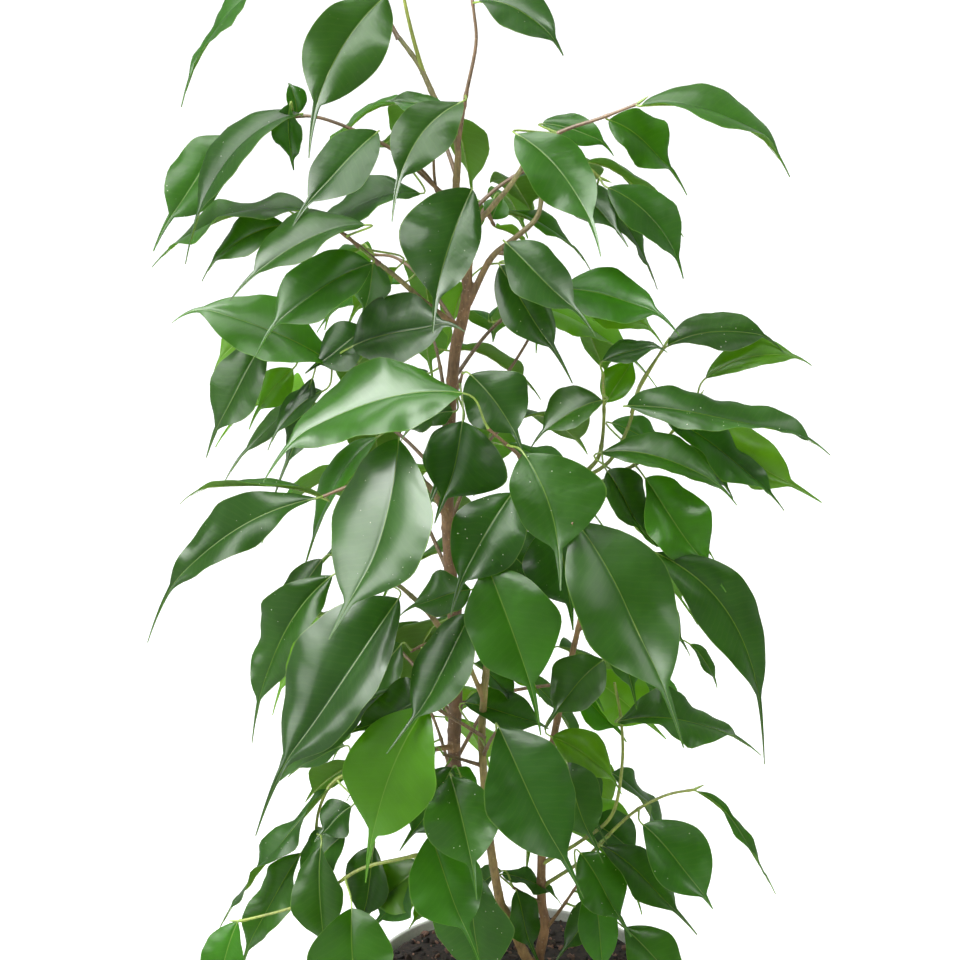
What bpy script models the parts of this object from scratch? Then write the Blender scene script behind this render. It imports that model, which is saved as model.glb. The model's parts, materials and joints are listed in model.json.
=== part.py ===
# A weeping fig (Ficus benjamina) in its pot: a back stem and a forked front stem stand in the soil, and leafy
# sprays grow from their branches. Metres, +Z up, with the origin at the centre of the pot's base.

import math
import random
from dataclasses import dataclass, replace

import bmesh
import bpy
from mathutils import Matrix, Vector, noise
from mathutils.bvhtree import BVHTree

MM = 0.001
UP = Vector((0.0, 0.0, 1.0))

# The pot
POT_HEIGHT = 150 * MM
RIM_RADIUS = 85 * MM
RIM_DEPTH = 24 * MM
RIM_STEP = 4 * MM
BASE_RADIUS = 58 * MM
WALL = 3 * MM
EDGE = 1.2 * MM
ROUND_SIDES = 32
DRAIN_HOLES = 6
DRAIN_RADIUS = 5 * MM
DRAIN_RING = 36 * MM
DRAIN_SIDES = 10

# The soil
SOIL_TOP = 145.5 * MM
SOIL_BUMP = 1.2 * MM
SOIL_LUMPS = 60.0
SOIL_BEVEL = 2 * MM
HOLE_SIDES = 12
GAP = 0.3 * MM
HOLE_FLOOR = 80 * MM
STEM_FLOOR = 80.5 * MM
COLLAR = 150 * MM

# The twigs
TWIG_FOOT = 1.25 * MM
TWIG_END = 1.15 * MM
TWIG_STEPS = 1
SEAT_RING = 1.2 * MM
SEAT_STEP = 0.1 * MM

# The leaves
BLADE = 0.7 * MM
RIB = 0.95 * MM
NARROWEST = 0.5 * MM
STALK_HALF = 0.5 * MM
STALK_DEEP = 1.0 * MM
BEND = 0.10
FOLD = 14.0
TWIST = 14.0
TWIST_CENTRE = 0.4
WAVE = 1.0 * MM
WAVES = 9.0
WAVE_LAG = 2.0
BELLY_END = 0.88
BELLY_LEAN = 0.9
BELLY_FULLNESS = 0.75
DRIP = 0.13
DRIP_FADE = 0.2
BLADE_ROWS = (
    (72 * MM, (0.10, 0.38, 0.68, 0.87, 1.0)),
    (40 * MM, (0.12, 0.46, 0.80, 1.0)),
    (0.0, (0.22, 0.66, 1.0)),
)
FOLDED_LEAF = 60 * MM
STALK_ELBOW = 95.0
ELBOW_SHARE = 0.62
ELBOW_SWELL = 0.10
FLAT = math.radians(1.0)

# How a leaf is moved clear of what is already there: millimetres of lift and swing, degrees of turn
SPARE = 0.5 * MM
LIFTS = (0, 4, -4, 8, -8, 13, -13)
SWINGS = (0, 5, -5, 10, -10, 16, -16, 23, -23, 32, -32)
TURNS = (0, 10, -10, 22, -22, 36, -36)

# What is seen from the front is placed on a sheet through the pot's axis, in millimetres: (across, height).
# A third number is how far in front of the sheet a point lies, on the sight line from the eye.
EYE = Vector((-20, -1189, 828)) * MM

# Each stem: its foot (x, y) in the soil, then its runs as (points, first radius, last radius, bevel steps)
STEMS = {
    "stem_back": {
        "foot": (-20, 38),
        "runs": (
            (((-23, 198, -36), (-30, 241, -32), (-34, 286, -27), (-33, 318, -24), (-33, 352, -20),
              (-36, 398, -16), (-37, 431, -13), (-36, 469, -10), (-33, 509, -6), (-29, 528, -3),
              (-26, 543, 0)), 4.4, 3.0, 2),
            (((-26, 541, 0), (-29, 562, 2), (-32, 592, 4), (-31, 615, 5), (-35, 626, 5), (-43, 642, 4),
              (-50, 657, 3), (-60, 671, 1)), 2.4, 1.2, 1),
            (((-26, 540, 0), (-24, 572, 6), (-15, 585, 12), (-5, 597, 18), (6, 614, 24)), 1.9, 1.2, 1),
            (((-26, 536, 0), (-15, 559, 4), (-4, 569, 6), (8, 580, 6), (11, 592, 4), (12, 606, 2)),
             1.9, 1.1, 1),
            (((-30, 523, -3), (-48, 537, 8), (-61, 549, 18), (-72, 558, 24)), 1.7, 1.2, 1),
            (((-34, 483, -8), (-51, 490, -6), (-69, 497, -2), (-82, 502, 0)), 1.7, 1.2, 1),
            (((-36, 417, -14), (-47, 439, 5), (-62, 443, 18), (-80, 441, 22)), 1.8, 1.2, 1),
            (((-33, 344, -20), (-45, 365, 8), (-60, 381, 30), (-66, 385, 38)), 1.8, 1.2, 1),
            (((-33, 291, -26), (-55, 287, -10), (-77, 281, 2)), 1.7, 1.2, 1),
            (((-36, 381, -17), (-15, 398, -10), (14, 424, -4), (37, 447, 0)), 1.8, 1.2, 1),
        ),
    },
    "stem_front": {
        "foot": (12, -2),
        "runs": (
            (((12, 158, 1), (16, 183, 4), (14, 198, 5), (14, 232, 8), (16, 265, 12), (20, 297, 15),
              (26, 329, 16), (32, 358, 15), (37, 384, 12), (42, 406, 8)), 3.4, 1.3, 2),
            (((12, 153, 2), (5, 164, 8), (-5, 189, 14), (-9, 198, 16), (-14, 229, 22), (-17, 259, 26),
              (-19, 294, 30), (-18, 318, 33), (-15, 350, 36), (-8, 381, 40), (-3, 414, 42), (0, 445, 42)),
             2.8, 1.4, 2),
            (((-18, 318, 33), (-25, 336, 36), (-30, 348, 38)), 1.5, 1.1, 1),
        ),
    },
}

# Each spray seen from the front: its stem, its twig, and its leaves as (where the blade starts, its drip tip,
# how far in front both lie, width, how far the upper face turns up from the eye in degrees, bend)
SPRAYS = {
    "spray_top_left": ("stem_back", (
        (-60, 670, 1), (-67, 683, -3), (-75, 695, -9), (-96, 702, -17), (-119, 699, -22),
    ), (
        ((-126, 695), (-168, 643), (-22, -12), 31, 62, 0.14),
        ((-66, 691), (-99, 630), (6, 28), 37, 8),
        ((-76, 697), (-63, 729), (-8, -30), 26, 50),
        ((-108, 704), (-125, 729), (-24, -42), 26, 60),
    )),
    "spray_top": ("stem_back", ((-48, 653, 3), (-53, 671, 5), (-57, 689, 6), (-58, 701, 4)), (
        ((-57, 698), (-34, 719), (8, 22), 23, 45),
        ((-59, 705), (-55, 735), (2, -10), 17, 30),
    )),
    "spray_top_right": ("stem_back", (
        (-31, 614, 5), (-30, 623, 8), (-27, 642, 12), (-22, 667, 14), (-23, 683, 14), (-25, 696, 12),
    ), (
        ((-20, 688), (21, 667), (18, 30), 29, 45, 0.2),
        ((-29, 639), (-62, 584), (24, 42), 34, 20),
        ((-37, 634), (-67, 641), (16, 10), 17, 55),
        ((-26, 699), (-10, 728), (10, -5), 23, 45),
    )),
    "spray_upper_left": ("stem_back", (
        (-32, 587, 4), (-42, 596, 8), (-57, 610, 14), (-72, 620, 19), (-99, 631, 24), (-117, 631, 25),
        (-139, 626, 22),
    ), (
        ((-109, 633), (-169, 569), (30, 38), 36, 55, 0.2),
        ((-146, 622), (-185, 570), (16, 18), 30, 25),
        ((-71, 624), (-109, 584), (27, 42), 27, 30),
        ((-50, 593), (-111, 567), (20, 34), 34, 58, 0.12),
        ((-114, 638), (-113, 607), (32, 34), 17, 50),
        ((-111, 633), (-115, 650), (20, 17), 12, 40),
    )),
    "spray_leader": ("stem_back", ((-30, 573, 3), (-27, 584, 14), (-25, 595, 22)), (
        ((-24, 595), (-45, 527), (26, 48), 38, 12),
    )),
    "spray_left_high": ("stem_back", ((-71, 557, 24), (-80, 565, 27), (-93, 575, 28), (-111, 581, 26)), (
        ((-104, 583), (-186, 559), (25, 8), 36, 72, 0.2),
        ((-118, 577), (-161, 553), (28, 26), 28, 62),
        ((-78, 577), (-146, 542), (38, 54), 34, 62, 0.12),
        ((-75, 557), (-135, 518), (36, 50), 38, 38),
    )),
    "spray_upper_right": ("stem_back", ((5, 613, 24), (20, 624, 28), (40, 631, 30), (58, 638, 30)), (
        ((-2, 623), (40, 565), (36, 60), 40, 20),
        ((60, 637), (135, 611), (32, 38), 35, 55, 0.2),
        ((44, 630), (79, 596), (24, 20), 27, 30),
        ((11, 628), (47, 617), (22, 26), 21, 40),
    )),
    "spray_right_tip": ("stem_back", ((12, 604, 2), (20, 611, 0), (31, 608, -2), (40, 601, -4)), (
        ((44, 596), (83, 554), (2, 8), 29, 40),
        ((40, 592), (70, 547), (-10, -8), 20, 60),
        ((27, 595), (8, 591), (-6, -8), 14, 60),
    )),
    "spray_fork": ("stem_back", ((-16, 583, 11), (-13, 577, 4)), (
        ((-14, 580), (-7, 594), (-4, -8), 15, 20),
        ((-12, 576), (5, 567), (2, 6), 16, 100),
    )),
    "spray_right_high": ("stem_back", ((-10, 563, 5), (0, 560, 10), (14, 551, 12), (27, 542, 12)), (
        ((-7, 568), (37, 525), (22, 36), 29, 30),
        ((-10, 556), (24, 501), (14, 28), 27, 20),
        ((21, 544), (79, 525), (10, 14), 33, 25),
        ((24, 535), (74, 521), (-6, -8), 27, 60),
    )),
    "spray_left_mid": ("stem_back", ((-81, 502, 0), (-89, 506, -3), (-103, 511, -8), (-122, 516, -14)), (
        ((-95, 504), (-177, 539), (4, -12), 35, 48),
        ((-85, 514), (-26, 526), (22, 30), 35, 22),
        ((-130, 517), (-162, 462), (-12, -8), 31, 40),
        ((-131, 523), (-157, 503), (-28, -32), 18, 40),
        ((-116, 502), (-137, 473), (-22, -24), 19, 25),
        ((-101, 490), (-130, 463), (-2, 2), 19, 50),
    )),
    "spray_trunk_high": ("stem_back", ((-34, 486, -8), (-30, 496, 14), (-29, 500, 26)), (
        ((-25, 499), (2, 457), (34, 48), 34, 12),
        ((-29, 474), (-43, 423), (24, 36), 39, 15),
    )),
    "spray_centre_top": ("stem_front", ((0, 445, 42), (1, 454, 46), (-7, 462, 52), (-16, 470, 56)), (
        ((-29, 489), (-133, 456), (62, 72), 41, 42),
        ((3, 456), (21, 386), (58, 78), 43, 8),
        ((-3, 435), (-34, 375), (52, 62), 36, 15),
    )),
    "spray_centre_right": ("stem_front", ((-3, 413, 42), (7, 420, 56), (20, 421, 72), (29, 418, 82)), (
        ((31, 416), (77, 305), (88, 108), 55, 0),
        ((18, 419), (27, 363), (50, 58), 39, 10),
    )),
    "spray_centre": ("stem_front", ((-6, 391, 41), (-9, 398, 58), (-15, 397, 70)), (
        ((-16, 394), (13, 307), (74, 92), 45, 5),
        ((-25, 381), (-61, 368), (40, 44), 29, 30),
    )),
    "spray_left_large": ("stem_back", ((-59, 443, 16), (-61, 453, 40), (-62, 462, 56)), (
        ((-62, 464), (-96, 357), (62, 86), 54, 5),
    )),
    "spray_left_centre": ("stem_back", ((-79, 441, 22), (-90, 438, 22), (-102, 433, 20)), (
        ((-105, 432), (-197, 368), (22, 16), 37, 38),
        ((-100, 431), (-177, 439), (12, 2), 28, 100),
    )),
    "spray_left_lower": ("stem_back", ((-65, 384, 38), (-78, 388, 36), (-91, 391, 30)), (
        ((-63, 376), (-139, 262), (52, 74), 47, 12),
        ((-98, 389), (-143, 306), (28, 30), 31, 45),
        ((-103, 398), (-134, 352), (10, 12), 24, 50),
    )),
    "spray_front_left": ("stem_front", ((-30, 348, 38), (-27, 357, 48), (-25, 364, 54)), (
        ((-25, 367), (-64, 290), (62, 80), 34, 22),
    )),
    "spray_front_bright": ("stem_front", ((-18, 296, 30), (-25, 301, 44), (-36, 308, 58), (-46, 315, 72)), (
        ((-49, 314), (-82, 210), (88, 104), 48, 3),
        ((-67, 324), (-137, 268), (46, 50), 32, 42),
    )),
    "spray_front_low": ("stem_front", ((-16, 255, 26), (-23, 262, 44), (-34, 271, 62)), (
        ((-36, 273), (-22, 206), (72, 90), 38, 12),
        ((-47, 238), (-22, 163), (62, 84), 41, 15),
        ((-23, 215), (-13, 132), (52, 66), 44, 20),
    )),
    "spray_front_centre": ("stem_front", ((-18, 286, 29), (-15, 293, 46), (-11, 300, 60)), (
        ((-10, 302), (33, 209), (72, 92), 47, 8),
    )),
    "spray_low_left_front": ("stem_front", (
        (-15, 236, 23), (-36, 230, 40), (-61, 224, 46), (-86, 217, 44), (-108, 201, 38), (-125, 193, 34),
        (-153, 185, 28),
    ), (
        ((-91, 193), (-84, 117), (58, 78), 45, 8),
        ((-154, 185), (-169, 129), (28, 34), 25, 30),
        ((-51, 219), (-82, 193), (30, 26), 30, 35),
        ((-48, 202), (-57, 182), (28, 30), 12, 30),
    )),
    "spray_low_left": ("stem_back", (
        (-76, 281, 2), (-89, 276, 6), (-101, 268, 8), (-108, 252, 10), (-110, 236, 12),
    ), (
        ((-103, 265), (-167, 183), (14, 8), 25, 52),
        ((-118, 227), (-154, 161), (8, 8), 26, 48),
        ((-94, 238), (-119, 203), (20, 26), 30, 40),
        ((-107, 231), (-106, 160), (26, 36), 28, 35),
        ((-93, 291), (-124, 274), (0, -4), 20, 50),
        ((-89, 280), (-115, 259), (-8, -12), 28, 120),
    )),
    "spray_right_stem": ("stem_back", ((36, 447, 0), (42, 456, 4), (44, 475, 6), (43, 500, 4)), (
        ((43, 506), (76, 515), (8, 10), 17, 50),
        ((43, 485), (6, 463), (22, 34), 29, 42),
        ((45, 484), (61, 511), (-12, -22), 18, 15),
        ((46, 447), (69, 406), (14, 22), 28, 25),
    )),
    "spray_right_outer": ("stem_back", (
        (30, 441, -1), (47, 452, 4), (57, 472, 4), (62, 493, 0), (74, 513, -6),
    ), (
        ((76, 514), (136, 518), (-8, -24), 25, 50, 0.12),
        ((56, 482), (162, 467), (14, 0), 32, 52, 0.08),
    )),
    "spray_right_low": ("stem_back", (
        (22, 432, -2), (43, 441, 5), (63, 452, 4), (76, 464, -4), (92, 485, -12),
    ), (
        ((96, 497), (150, 508), (-14, -28), 19, 50, 0.2),
        ((76, 476), (139, 430), (0, -10), 27, 38),
        ((88, 477), (151, 432), (-16, -28), 30, 30),
        ((43, 457), (113, 435), (20, 12), 30, 50),
        ((66, 443), (106, 386), (20, 26), 34, 25),
        ((80, 458), (112, 434), (-8, -14), 18, 50),
        ((72, 409), (117, 372), (-20, -30), 28, 120),
    )),
    "spray_right_front": ("stem_front", ((41, 405, 8), (54, 409, 20), (69, 404, 30)), (
        ((72, 402), (134, 299), (34, 40), 38, 32),
    )),
    "spray_right_mid": ("stem_front", ((25, 324, 16), (39, 334, 24), (47, 341, 28)), (
        ((46, 341), (17, 302), (36, 48), 30, 25),
        ((19, 296), (57, 267), (26, 28), 27, 45),
    )),
    "spray_right_thin": ("stem_front", (
        (15, 221, 8), (35, 234, 16), (52, 250, 20), (57, 280, 20), (56, 306, 18), (52, 328, 16),
    ), (
        ((54, 305), (132, 290), (26, 18), 34, 45),
    )),
    "spray_right_behind": ("stem_back", ((-33, 315, -24), (1, 324, -40), (39, 329, -50), (66, 334, -55)), (
        ((39, 331), (77, 297), (-45, -45), 31, 25),
        ((50, 324), (93, 318), (-60, -65), 29, 40),
        ((31, 324), (56, 297), (-50, -48), 26, 30),
        ((92, 350), (107, 327), (-60, -62), 12, 50),
    )),
    "spray_low_centre": ("stem_front", ((16, 265, 12), (21, 274, 26), (25, 280, 34)), (
        ((27, 281), (45, 227), (40, 52), 28, 20),
    )),
    "spray_low_right_thin": ("stem_front", (
        (15, 207, 6), (38, 224, 14), (55, 243, 20), (67, 254, 22), (82, 262, 22), (96, 265, 20),
    ), (
        ((98, 264), (143, 207), (20, 16), 17, 60, 0.15),
        ((69, 244), (101, 202), (34, 44), 34, 15),
        ((47, 231), (95, 178), (30, 38), 32, 30),
    )),
    "spray_low_right": ("stem_front", ((17, 181, 4), (25, 193, 16), (34, 208, 26)), (
        ((35, 227), (60, 178), (34, 44), 29, 25),
        ((42, 209), (48, 142), (28, 38), 22, 20),
        ((60, 181), (100, 132), (20, 32), 30, 20),
        ((46, 198), (24, 160), (16, 22), 22, 30),
    )),
    "spray_inner_left": ("stem_back", ((-33, 352, -20), (-44, 352, -8), (-57, 346, 0)), (
        ((-62, 350), (-90, 312), (4, 8), 28, 25),
        ((-48, 343), (-42, 314), (2, 10), 18, 30),
    )),
    "spray_inner_front": ("stem_front", ((-18, 279, 28), (-30, 283, 33), (-40, 286, 35)), (
        ((-44, 290), (-62, 262), (34, 38), 22, 35),
        ((-38, 276), (-20, 266), (36, 42), 14, 45),
    )),
    "spray_inner_right": ("stem_front", ((32, 358, 15), (43, 366, 20), (56, 370, 22)), (
        ((62, 372), (92, 346), (20, 14), 26, 35),
        ((50, 362), (60, 318), (26, 34), 24, 20),
    )),
    "spray_near_soil": ("stem_front", ((14, 196, 5), (6, 201, 11), (-2, 206, 14)), (
        ((0, 204), (10, 160), (15, 22), 22, 25),
        ((-8, 216), (-30, 198), (10, 2), 16, 60),
    )),
}

# The far side, which is filled by a rule: sprays up the back stem, each with the same four leaf places
# (share of the twig, degrees from its heading)
SEED = 7
FAR_SPRAYS = 15
FAR_LOWEST = 212 * MM
FAR_STEP = 28 * MM
FAR_MIDDLE = 90.0
FAR_SPREAD = 140.0
GOLDEN = 0.618
FAR_REACH = 94 * MM
FAR_FULLEST = 4
FAR_TAPER = 3.4 * MM
FAR_ARCH = ((0.0, 0.0), (0.35, 0.28), (0.7, 0.42), (1.0, 0.40))
FAR_LEAVES = ((0.42, 50), (0.62, -55), (0.82, 45), (1.0, -10))
FAR_LENGTH = (58, 82)
FAR_DROOP = (28, 62)
FAR_SLIMNESS = (0.42, 0.5)
FAR_BEND = (0.08, 0.16)
FAR_SMALL_FROM = 11
FAR_SMALL = 0.85

GREEN = (0.035, 0.135, 0.025, 1.0)
BARK = (0.16, 0.095, 0.055, 1.0)
EARTH = (0.012, 0.009, 0.007, 1.0)
PALE = (0.62, 0.62, 0.60, 1.0)


@dataclass(frozen=True)
class Leaf:
    """One leaf: its stalk runs from the root to the base, and its blade from the base to the tip."""

    root: Vector
    base: Vector
    tip: Vector
    face: Vector
    push: Vector
    width: float
    bend: float
    fold: float
    twist: float
    wave: float


def clear_scene():
    for obj in list(bpy.data.objects):
        bpy.data.objects.remove(obj, do_unlink=True)


def material(name, colour, roughness):
    made = bpy.data.materials.new(name)
    made.use_nodes = True
    shader = made.node_tree.nodes["Principled BSDF"]
    shader.inputs["Base Color"].default_value = colour
    shader.inputs["Roughness"].default_value = roughness
    shader.inputs["Metallic"].default_value = 0.0
    return made


def new_object(name, mesh, finish=None):
    obj = bpy.data.objects.new(name, mesh)
    bpy.context.scene.collection.objects.link(obj)
    if finish:
        mesh.materials.clear()
        mesh.materials.append(finish)
    return obj


def evaluated_mesh(obj):
    graph = bpy.context.evaluated_depsgraph_get()
    return bpy.data.meshes.new_from_object(obj.evaluated_get(graph))


def apply_modifiers(obj):
    mesh = evaluated_mesh(obj)
    obj.modifiers.clear()
    obj.data = mesh


def seen(across, height, forward):
    """The point that lies that far forward on the sight line through (across, height) on the sheet."""
    flat = Vector((across, 0.0, height)) * MM
    return flat + (EYE - flat) * (forward * MM / -EYE.y)


def smooth(points, steps):
    """A curve through the points, with that many steps from each point to the next."""
    ends = [2 * points[0] - points[1], *points, 2 * points[-1] - points[-2]]
    curve = []
    for a, b, c, d in zip(ends, ends[1:], ends[2:], ends[3:]):
        for step in range(steps):
            t = step / steps
            square = (2 * a - 5 * b + 4 * c - d) * t * t
            cube = (3 * b - a - 3 * c + d) * t**3
            curve.append((2 * b + (c - a) * t + square + cube) / 2)
    return [*curve, points[-1]]


def tube(name, route, first, last, bevel_steps):
    """A closed tube along the route, whose radius goes evenly from the first to the last."""
    curve = bpy.data.curves.new(name, "CURVE")
    curve.dimensions = "3D"
    curve.bevel_depth = 1.0
    curve.bevel_resolution = bevel_steps
    curve.use_fill_caps = True
    spline = curve.splines.new("POLY")
    spline.points.add(len(route) - 1)
    for index, point in enumerate(route):
        share = index / (len(route) - 1)
        spline.points[index].co = (*point, 1.0)
        spline.points[index].radius = first + (last - first) * share
    holder = new_object(name, curve)
    mesh = evaluated_mesh(holder)
    bpy.data.objects.remove(holder)
    bpy.data.curves.remove(curve)
    shape = bmesh.new()
    shape.from_mesh(mesh)
    bmesh.ops.remove_doubles(shape, verts=shape.verts, dist=0.001 * MM)
    bmesh.ops.recalc_face_normals(shape, faces=shape.faces)
    shape.to_mesh(mesh)
    shape.free()
    return new_object(name, mesh)


def turned(name, profile, sides):
    """The closed solid that the profile's (radius, height) points sweep round the pot's axis."""
    shape = bmesh.new()
    line = [shape.verts.new((radius, 0.0, height)) for radius, height in profile]
    edges = [shape.edges.new(pair) for pair in zip(line, line[1:])]
    bmesh.ops.spin(
        shape, geom=line + edges, axis=UP, cent=(0, 0, 0), angle=math.tau, steps=sides, use_merge=True
    )
    bmesh.ops.remove_doubles(shape, verts=shape.verts, dist=0.001 * MM)
    bmesh.ops.recalc_face_normals(shape, faces=shape.faces)
    mesh = bpy.data.meshes.new(name)
    shape.to_mesh(mesh)
    shape.free()
    return new_object(name, mesh)


def cylinder(name, place, radius, low, high, sides):
    shape = bmesh.new()
    middle = Matrix.Translation((*place, (low + high) / 2))
    bmesh.ops.create_cone(
        shape, cap_ends=True, segments=sides, radius1=radius, radius2=radius, depth=high - low, matrix=middle
    )
    mesh = bpy.data.meshes.new(name)
    shape.to_mesh(mesh)
    shape.free()
    return new_object(name, mesh)


def tidy_body(mesh):
    """Drops every loose scrap, and makes one face again of what the Boolean split on a flat."""
    shape = bmesh.new()
    shape.from_mesh(mesh)
    left = set(shape.verts)
    bodies = []
    while left:
        body = set()
        edge = {left.pop()}
        while edge:
            vertex = edge.pop()
            body.add(vertex)
            edge |= {e.other_vert(vertex) for e in vertex.link_edges} - body
        left -= body
        bodies.append(body)
    bodies.sort(key=len)
    for body in bodies[:-1]:
        bmesh.ops.delete(shape, geom=list(body), context="VERTS")
    bmesh.ops.dissolve_limit(shape, angle_limit=FLAT, verts=shape.verts, edges=shape.edges)
    bmesh.ops.triangulate(shape, faces=shape.faces)
    shape.to_mesh(mesh)
    shape.free()


def combine(target, others, operation, solver):
    """One Boolean of the others, as a collection, on the target. The others are then removed."""
    holder = bpy.data.collections.new("others")
    bpy.context.scene.collection.children.link(holder)
    for obj in others:
        holder.objects.link(obj)
    boolean = target.modifiers.new("combine", "BOOLEAN")
    boolean.operation = operation
    boolean.operand_type = "COLLECTION"
    boolean.collection = holder
    boolean.solver = solver
    apply_modifiers(target)
    for obj in others:
        bpy.data.objects.remove(obj)
    bpy.data.collections.remove(holder)
    tidy_body(target.data)


def inner_radius(height):
    """The radius of the pot's inner wall, which runs straight from its floor to its rim."""
    share = (height - WALL) / (POT_HEIGHT - WALL)
    return BASE_RADIUS + (RIM_RADIUS - BASE_RADIUS) * share - WALL


def make_pot(finish):
    under_rim = RIM_RADIUS - RIM_STEP
    low_rim = POT_HEIGHT - RIM_DEPTH
    profile = [
        (0.0, 0.0),
        (BASE_RADIUS - EDGE, 0.0),
        (BASE_RADIUS, EDGE),
        (under_rim - EDGE, low_rim),
        (under_rim + RIM_STEP - 2 * EDGE, low_rim + EDGE),
        (RIM_RADIUS, POT_HEIGHT - EDGE),
        (RIM_RADIUS - EDGE, POT_HEIGHT),
        (RIM_RADIUS - WALL + 0.4 * EDGE, POT_HEIGHT),
        (inner_radius(POT_HEIGHT - 0.6 * EDGE), POT_HEIGHT - 0.6 * EDGE),
        (inner_radius(WALL), WALL),
        (0.0, WALL),
    ]
    pot = turned("pot", profile, ROUND_SIDES)
    holes = []
    for number in range(DRAIN_HOLES):
        angle = math.tau * number / DRAIN_HOLES
        place = (DRAIN_RING * math.cos(angle), DRAIN_RING * math.sin(angle))
        holes.append(cylinder("drain", place, DRAIN_RADIUS, -WALL, 2 * WALL, DRAIN_SIDES))
    combine(pot, holes, "DIFFERENCE", "EXACT")
    pot.data.materials.append(finish)
    return pot


def make_soil(finish):
    """The soil fills the pot to just under its rim, with a gently uneven top and a hole for each stem."""
    floor = WALL + GAP
    shoulder = SOIL_TOP - 0.75 * SOIL_BEVEL
    edge = inner_radius(shoulder) - GAP
    profile = [
        (0.0, floor),
        (inner_radius(floor) - GAP, floor),
        (edge, shoulder),
        (edge - SOIL_BEVEL, SOIL_TOP),
        (0.75 * edge, SOIL_TOP),
        (0.5 * edge, SOIL_TOP),
        (0.25 * edge, SOIL_TOP),
        (0.0, SOIL_TOP),
    ]
    soil = turned("soil", profile, ROUND_SIDES)
    for vertex in soil.data.vertices:
        if vertex.co.z > SOIL_TOP - 0.1 * MM:
            vertex.co.z += SOIL_BUMP * noise.noise(vertex.co * SOIL_LUMPS)
    holes = []
    for stem in STEMS.values():
        x, y = stem["foot"]
        radius = (stem["runs"][0][1] * MM + GAP) / math.cos(math.pi / HOLE_SIDES)
        holes.append(cylinder("hole", (x * MM, y * MM), radius, HOLE_FLOOR, COLLAR, HOLE_SIDES))
    combine(soil, holes, "DIFFERENCE", "EXACT")
    soil.data.materials.append(finish)
    return soil


def stem_route(stem, number):
    """The points of one of a stem's runs. The first run stands upright in its hole in the soil."""
    points = [seen(*point) for point in stem["runs"][number][0]]
    if number:
        return points
    x, y = stem["foot"]
    return [Vector((x * MM, y * MM, height)) for height in (STEM_FLOOR, COLLAR)] + points


def make_stem(name, finish):
    stem = STEMS[name]
    pieces = []
    for number, (_, first, last, bevel_steps) in enumerate(stem["runs"]):
        pieces.append(tube(name, stem_route(stem, number), first * MM, last * MM, bevel_steps))
    whole = pieces[0]
    whole.name = name
    combine(whole, pieces[1:], "UNION", "MANIFOLD")
    whole.data.materials.clear()
    whole.data.materials.append(finish)
    return whole


def outline(share):
    """Half the blade's width over its widest half, from the stalk at 0 to the drip tip at 1."""
    belly = math.sin(math.pi * min(1.0, share / BELLY_END) ** BELLY_LEAN)
    drip = DRIP * (1.0 - share) / DRIP_FADE
    return max(max(0.0, belly) ** BELLY_FULLNESS, min(DRIP, drip))


def unit_across(vector, along):
    return (vector - along * vector.dot(along)).normalized()


def blade_frame(leaf, share):
    """The point on the midrib at that share of the blade, with the ways along, across and up there."""
    chord = leaf.tip - leaf.base
    length = chord.length
    face = unit_across(leaf.face, chord / length)
    rise = 4 * leaf.bend * length
    point = leaf.base + chord * share + face * (rise * share * (1 - share))
    along = (chord + face * (rise * (1 - 2 * share))).normalized()
    up = unit_across(face, along)
    up.rotate(Matrix.Rotation(leaf.twist * (share - TWIST_CENTRE), 3, along))
    return point, along, along.cross(up), up


def sides(leaf):
    """Where a section has its corners: a large leaf is folded at its midrib, and a small one is flat."""
    return (-1, 0, 1) if (leaf.tip - leaf.base).length > FOLDED_LEAF else (-1, 1)


def blade_row(leaf, share, spare):
    """The corners round the blade at that share: its upper face, then its lower one."""
    point, _, across, up = blade_frame(leaf, share)
    half = max(NARROWEST, leaf.width / 2 * outline(share)) + spare
    lift = half * math.sin(leaf.fold)
    corners = []
    for side in sides(leaf):
        sway = leaf.wave * math.sin(WAVES * share + WAVE_LAG * side) * abs(side) * outline(share)
        middle = point + across * (side * half * math.cos(leaf.fold)) + up * (abs(side) * lift + sway)
        thick = (BLADE if side else RIB) / 2 + spare
        corners.append((middle + up * thick, middle - up * thick))
    return [upper for upper, _ in corners] + [lower for _, lower in reversed(corners)]


def stalk_row(leaf, point, along, spare):
    """The corners round the stalk at that point, as many as round the blade."""
    up = unit_across(leaf.face, along)
    across = along.cross(up)
    half = STALK_HALF + spare
    corners = []
    for side in sides(leaf):
        deep = (0.4 if side else 0.6) * STALK_DEEP + spare
        middle = point + across * (side * half)
        corners.append((middle + up * deep, middle - up * deep))
    return [upper for upper, _ in corners] + [lower for _, lower in reversed(corners)]


def stalk_rows(leaf, spare):
    """Sections along the stalk, which leaves its twig straight and meets the blade in line with it."""
    reach = leaf.base - leaf.root
    out = reach.normalized()
    _, into, _, _ = blade_frame(leaf, 0.0)
    rows = [stalk_row(leaf, leaf.root, out, spare)]
    if reach.angle(into) > math.radians(STALK_ELBOW):
        middle = leaf.root + reach * ELBOW_SHARE + (out - into) * (reach.length * ELBOW_SWELL)
        rows.append(stalk_row(leaf, middle, out, spare))
    rows.append(stalk_row(leaf, leaf.base, (out + into).normalized(), spare))
    return rows


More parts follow.
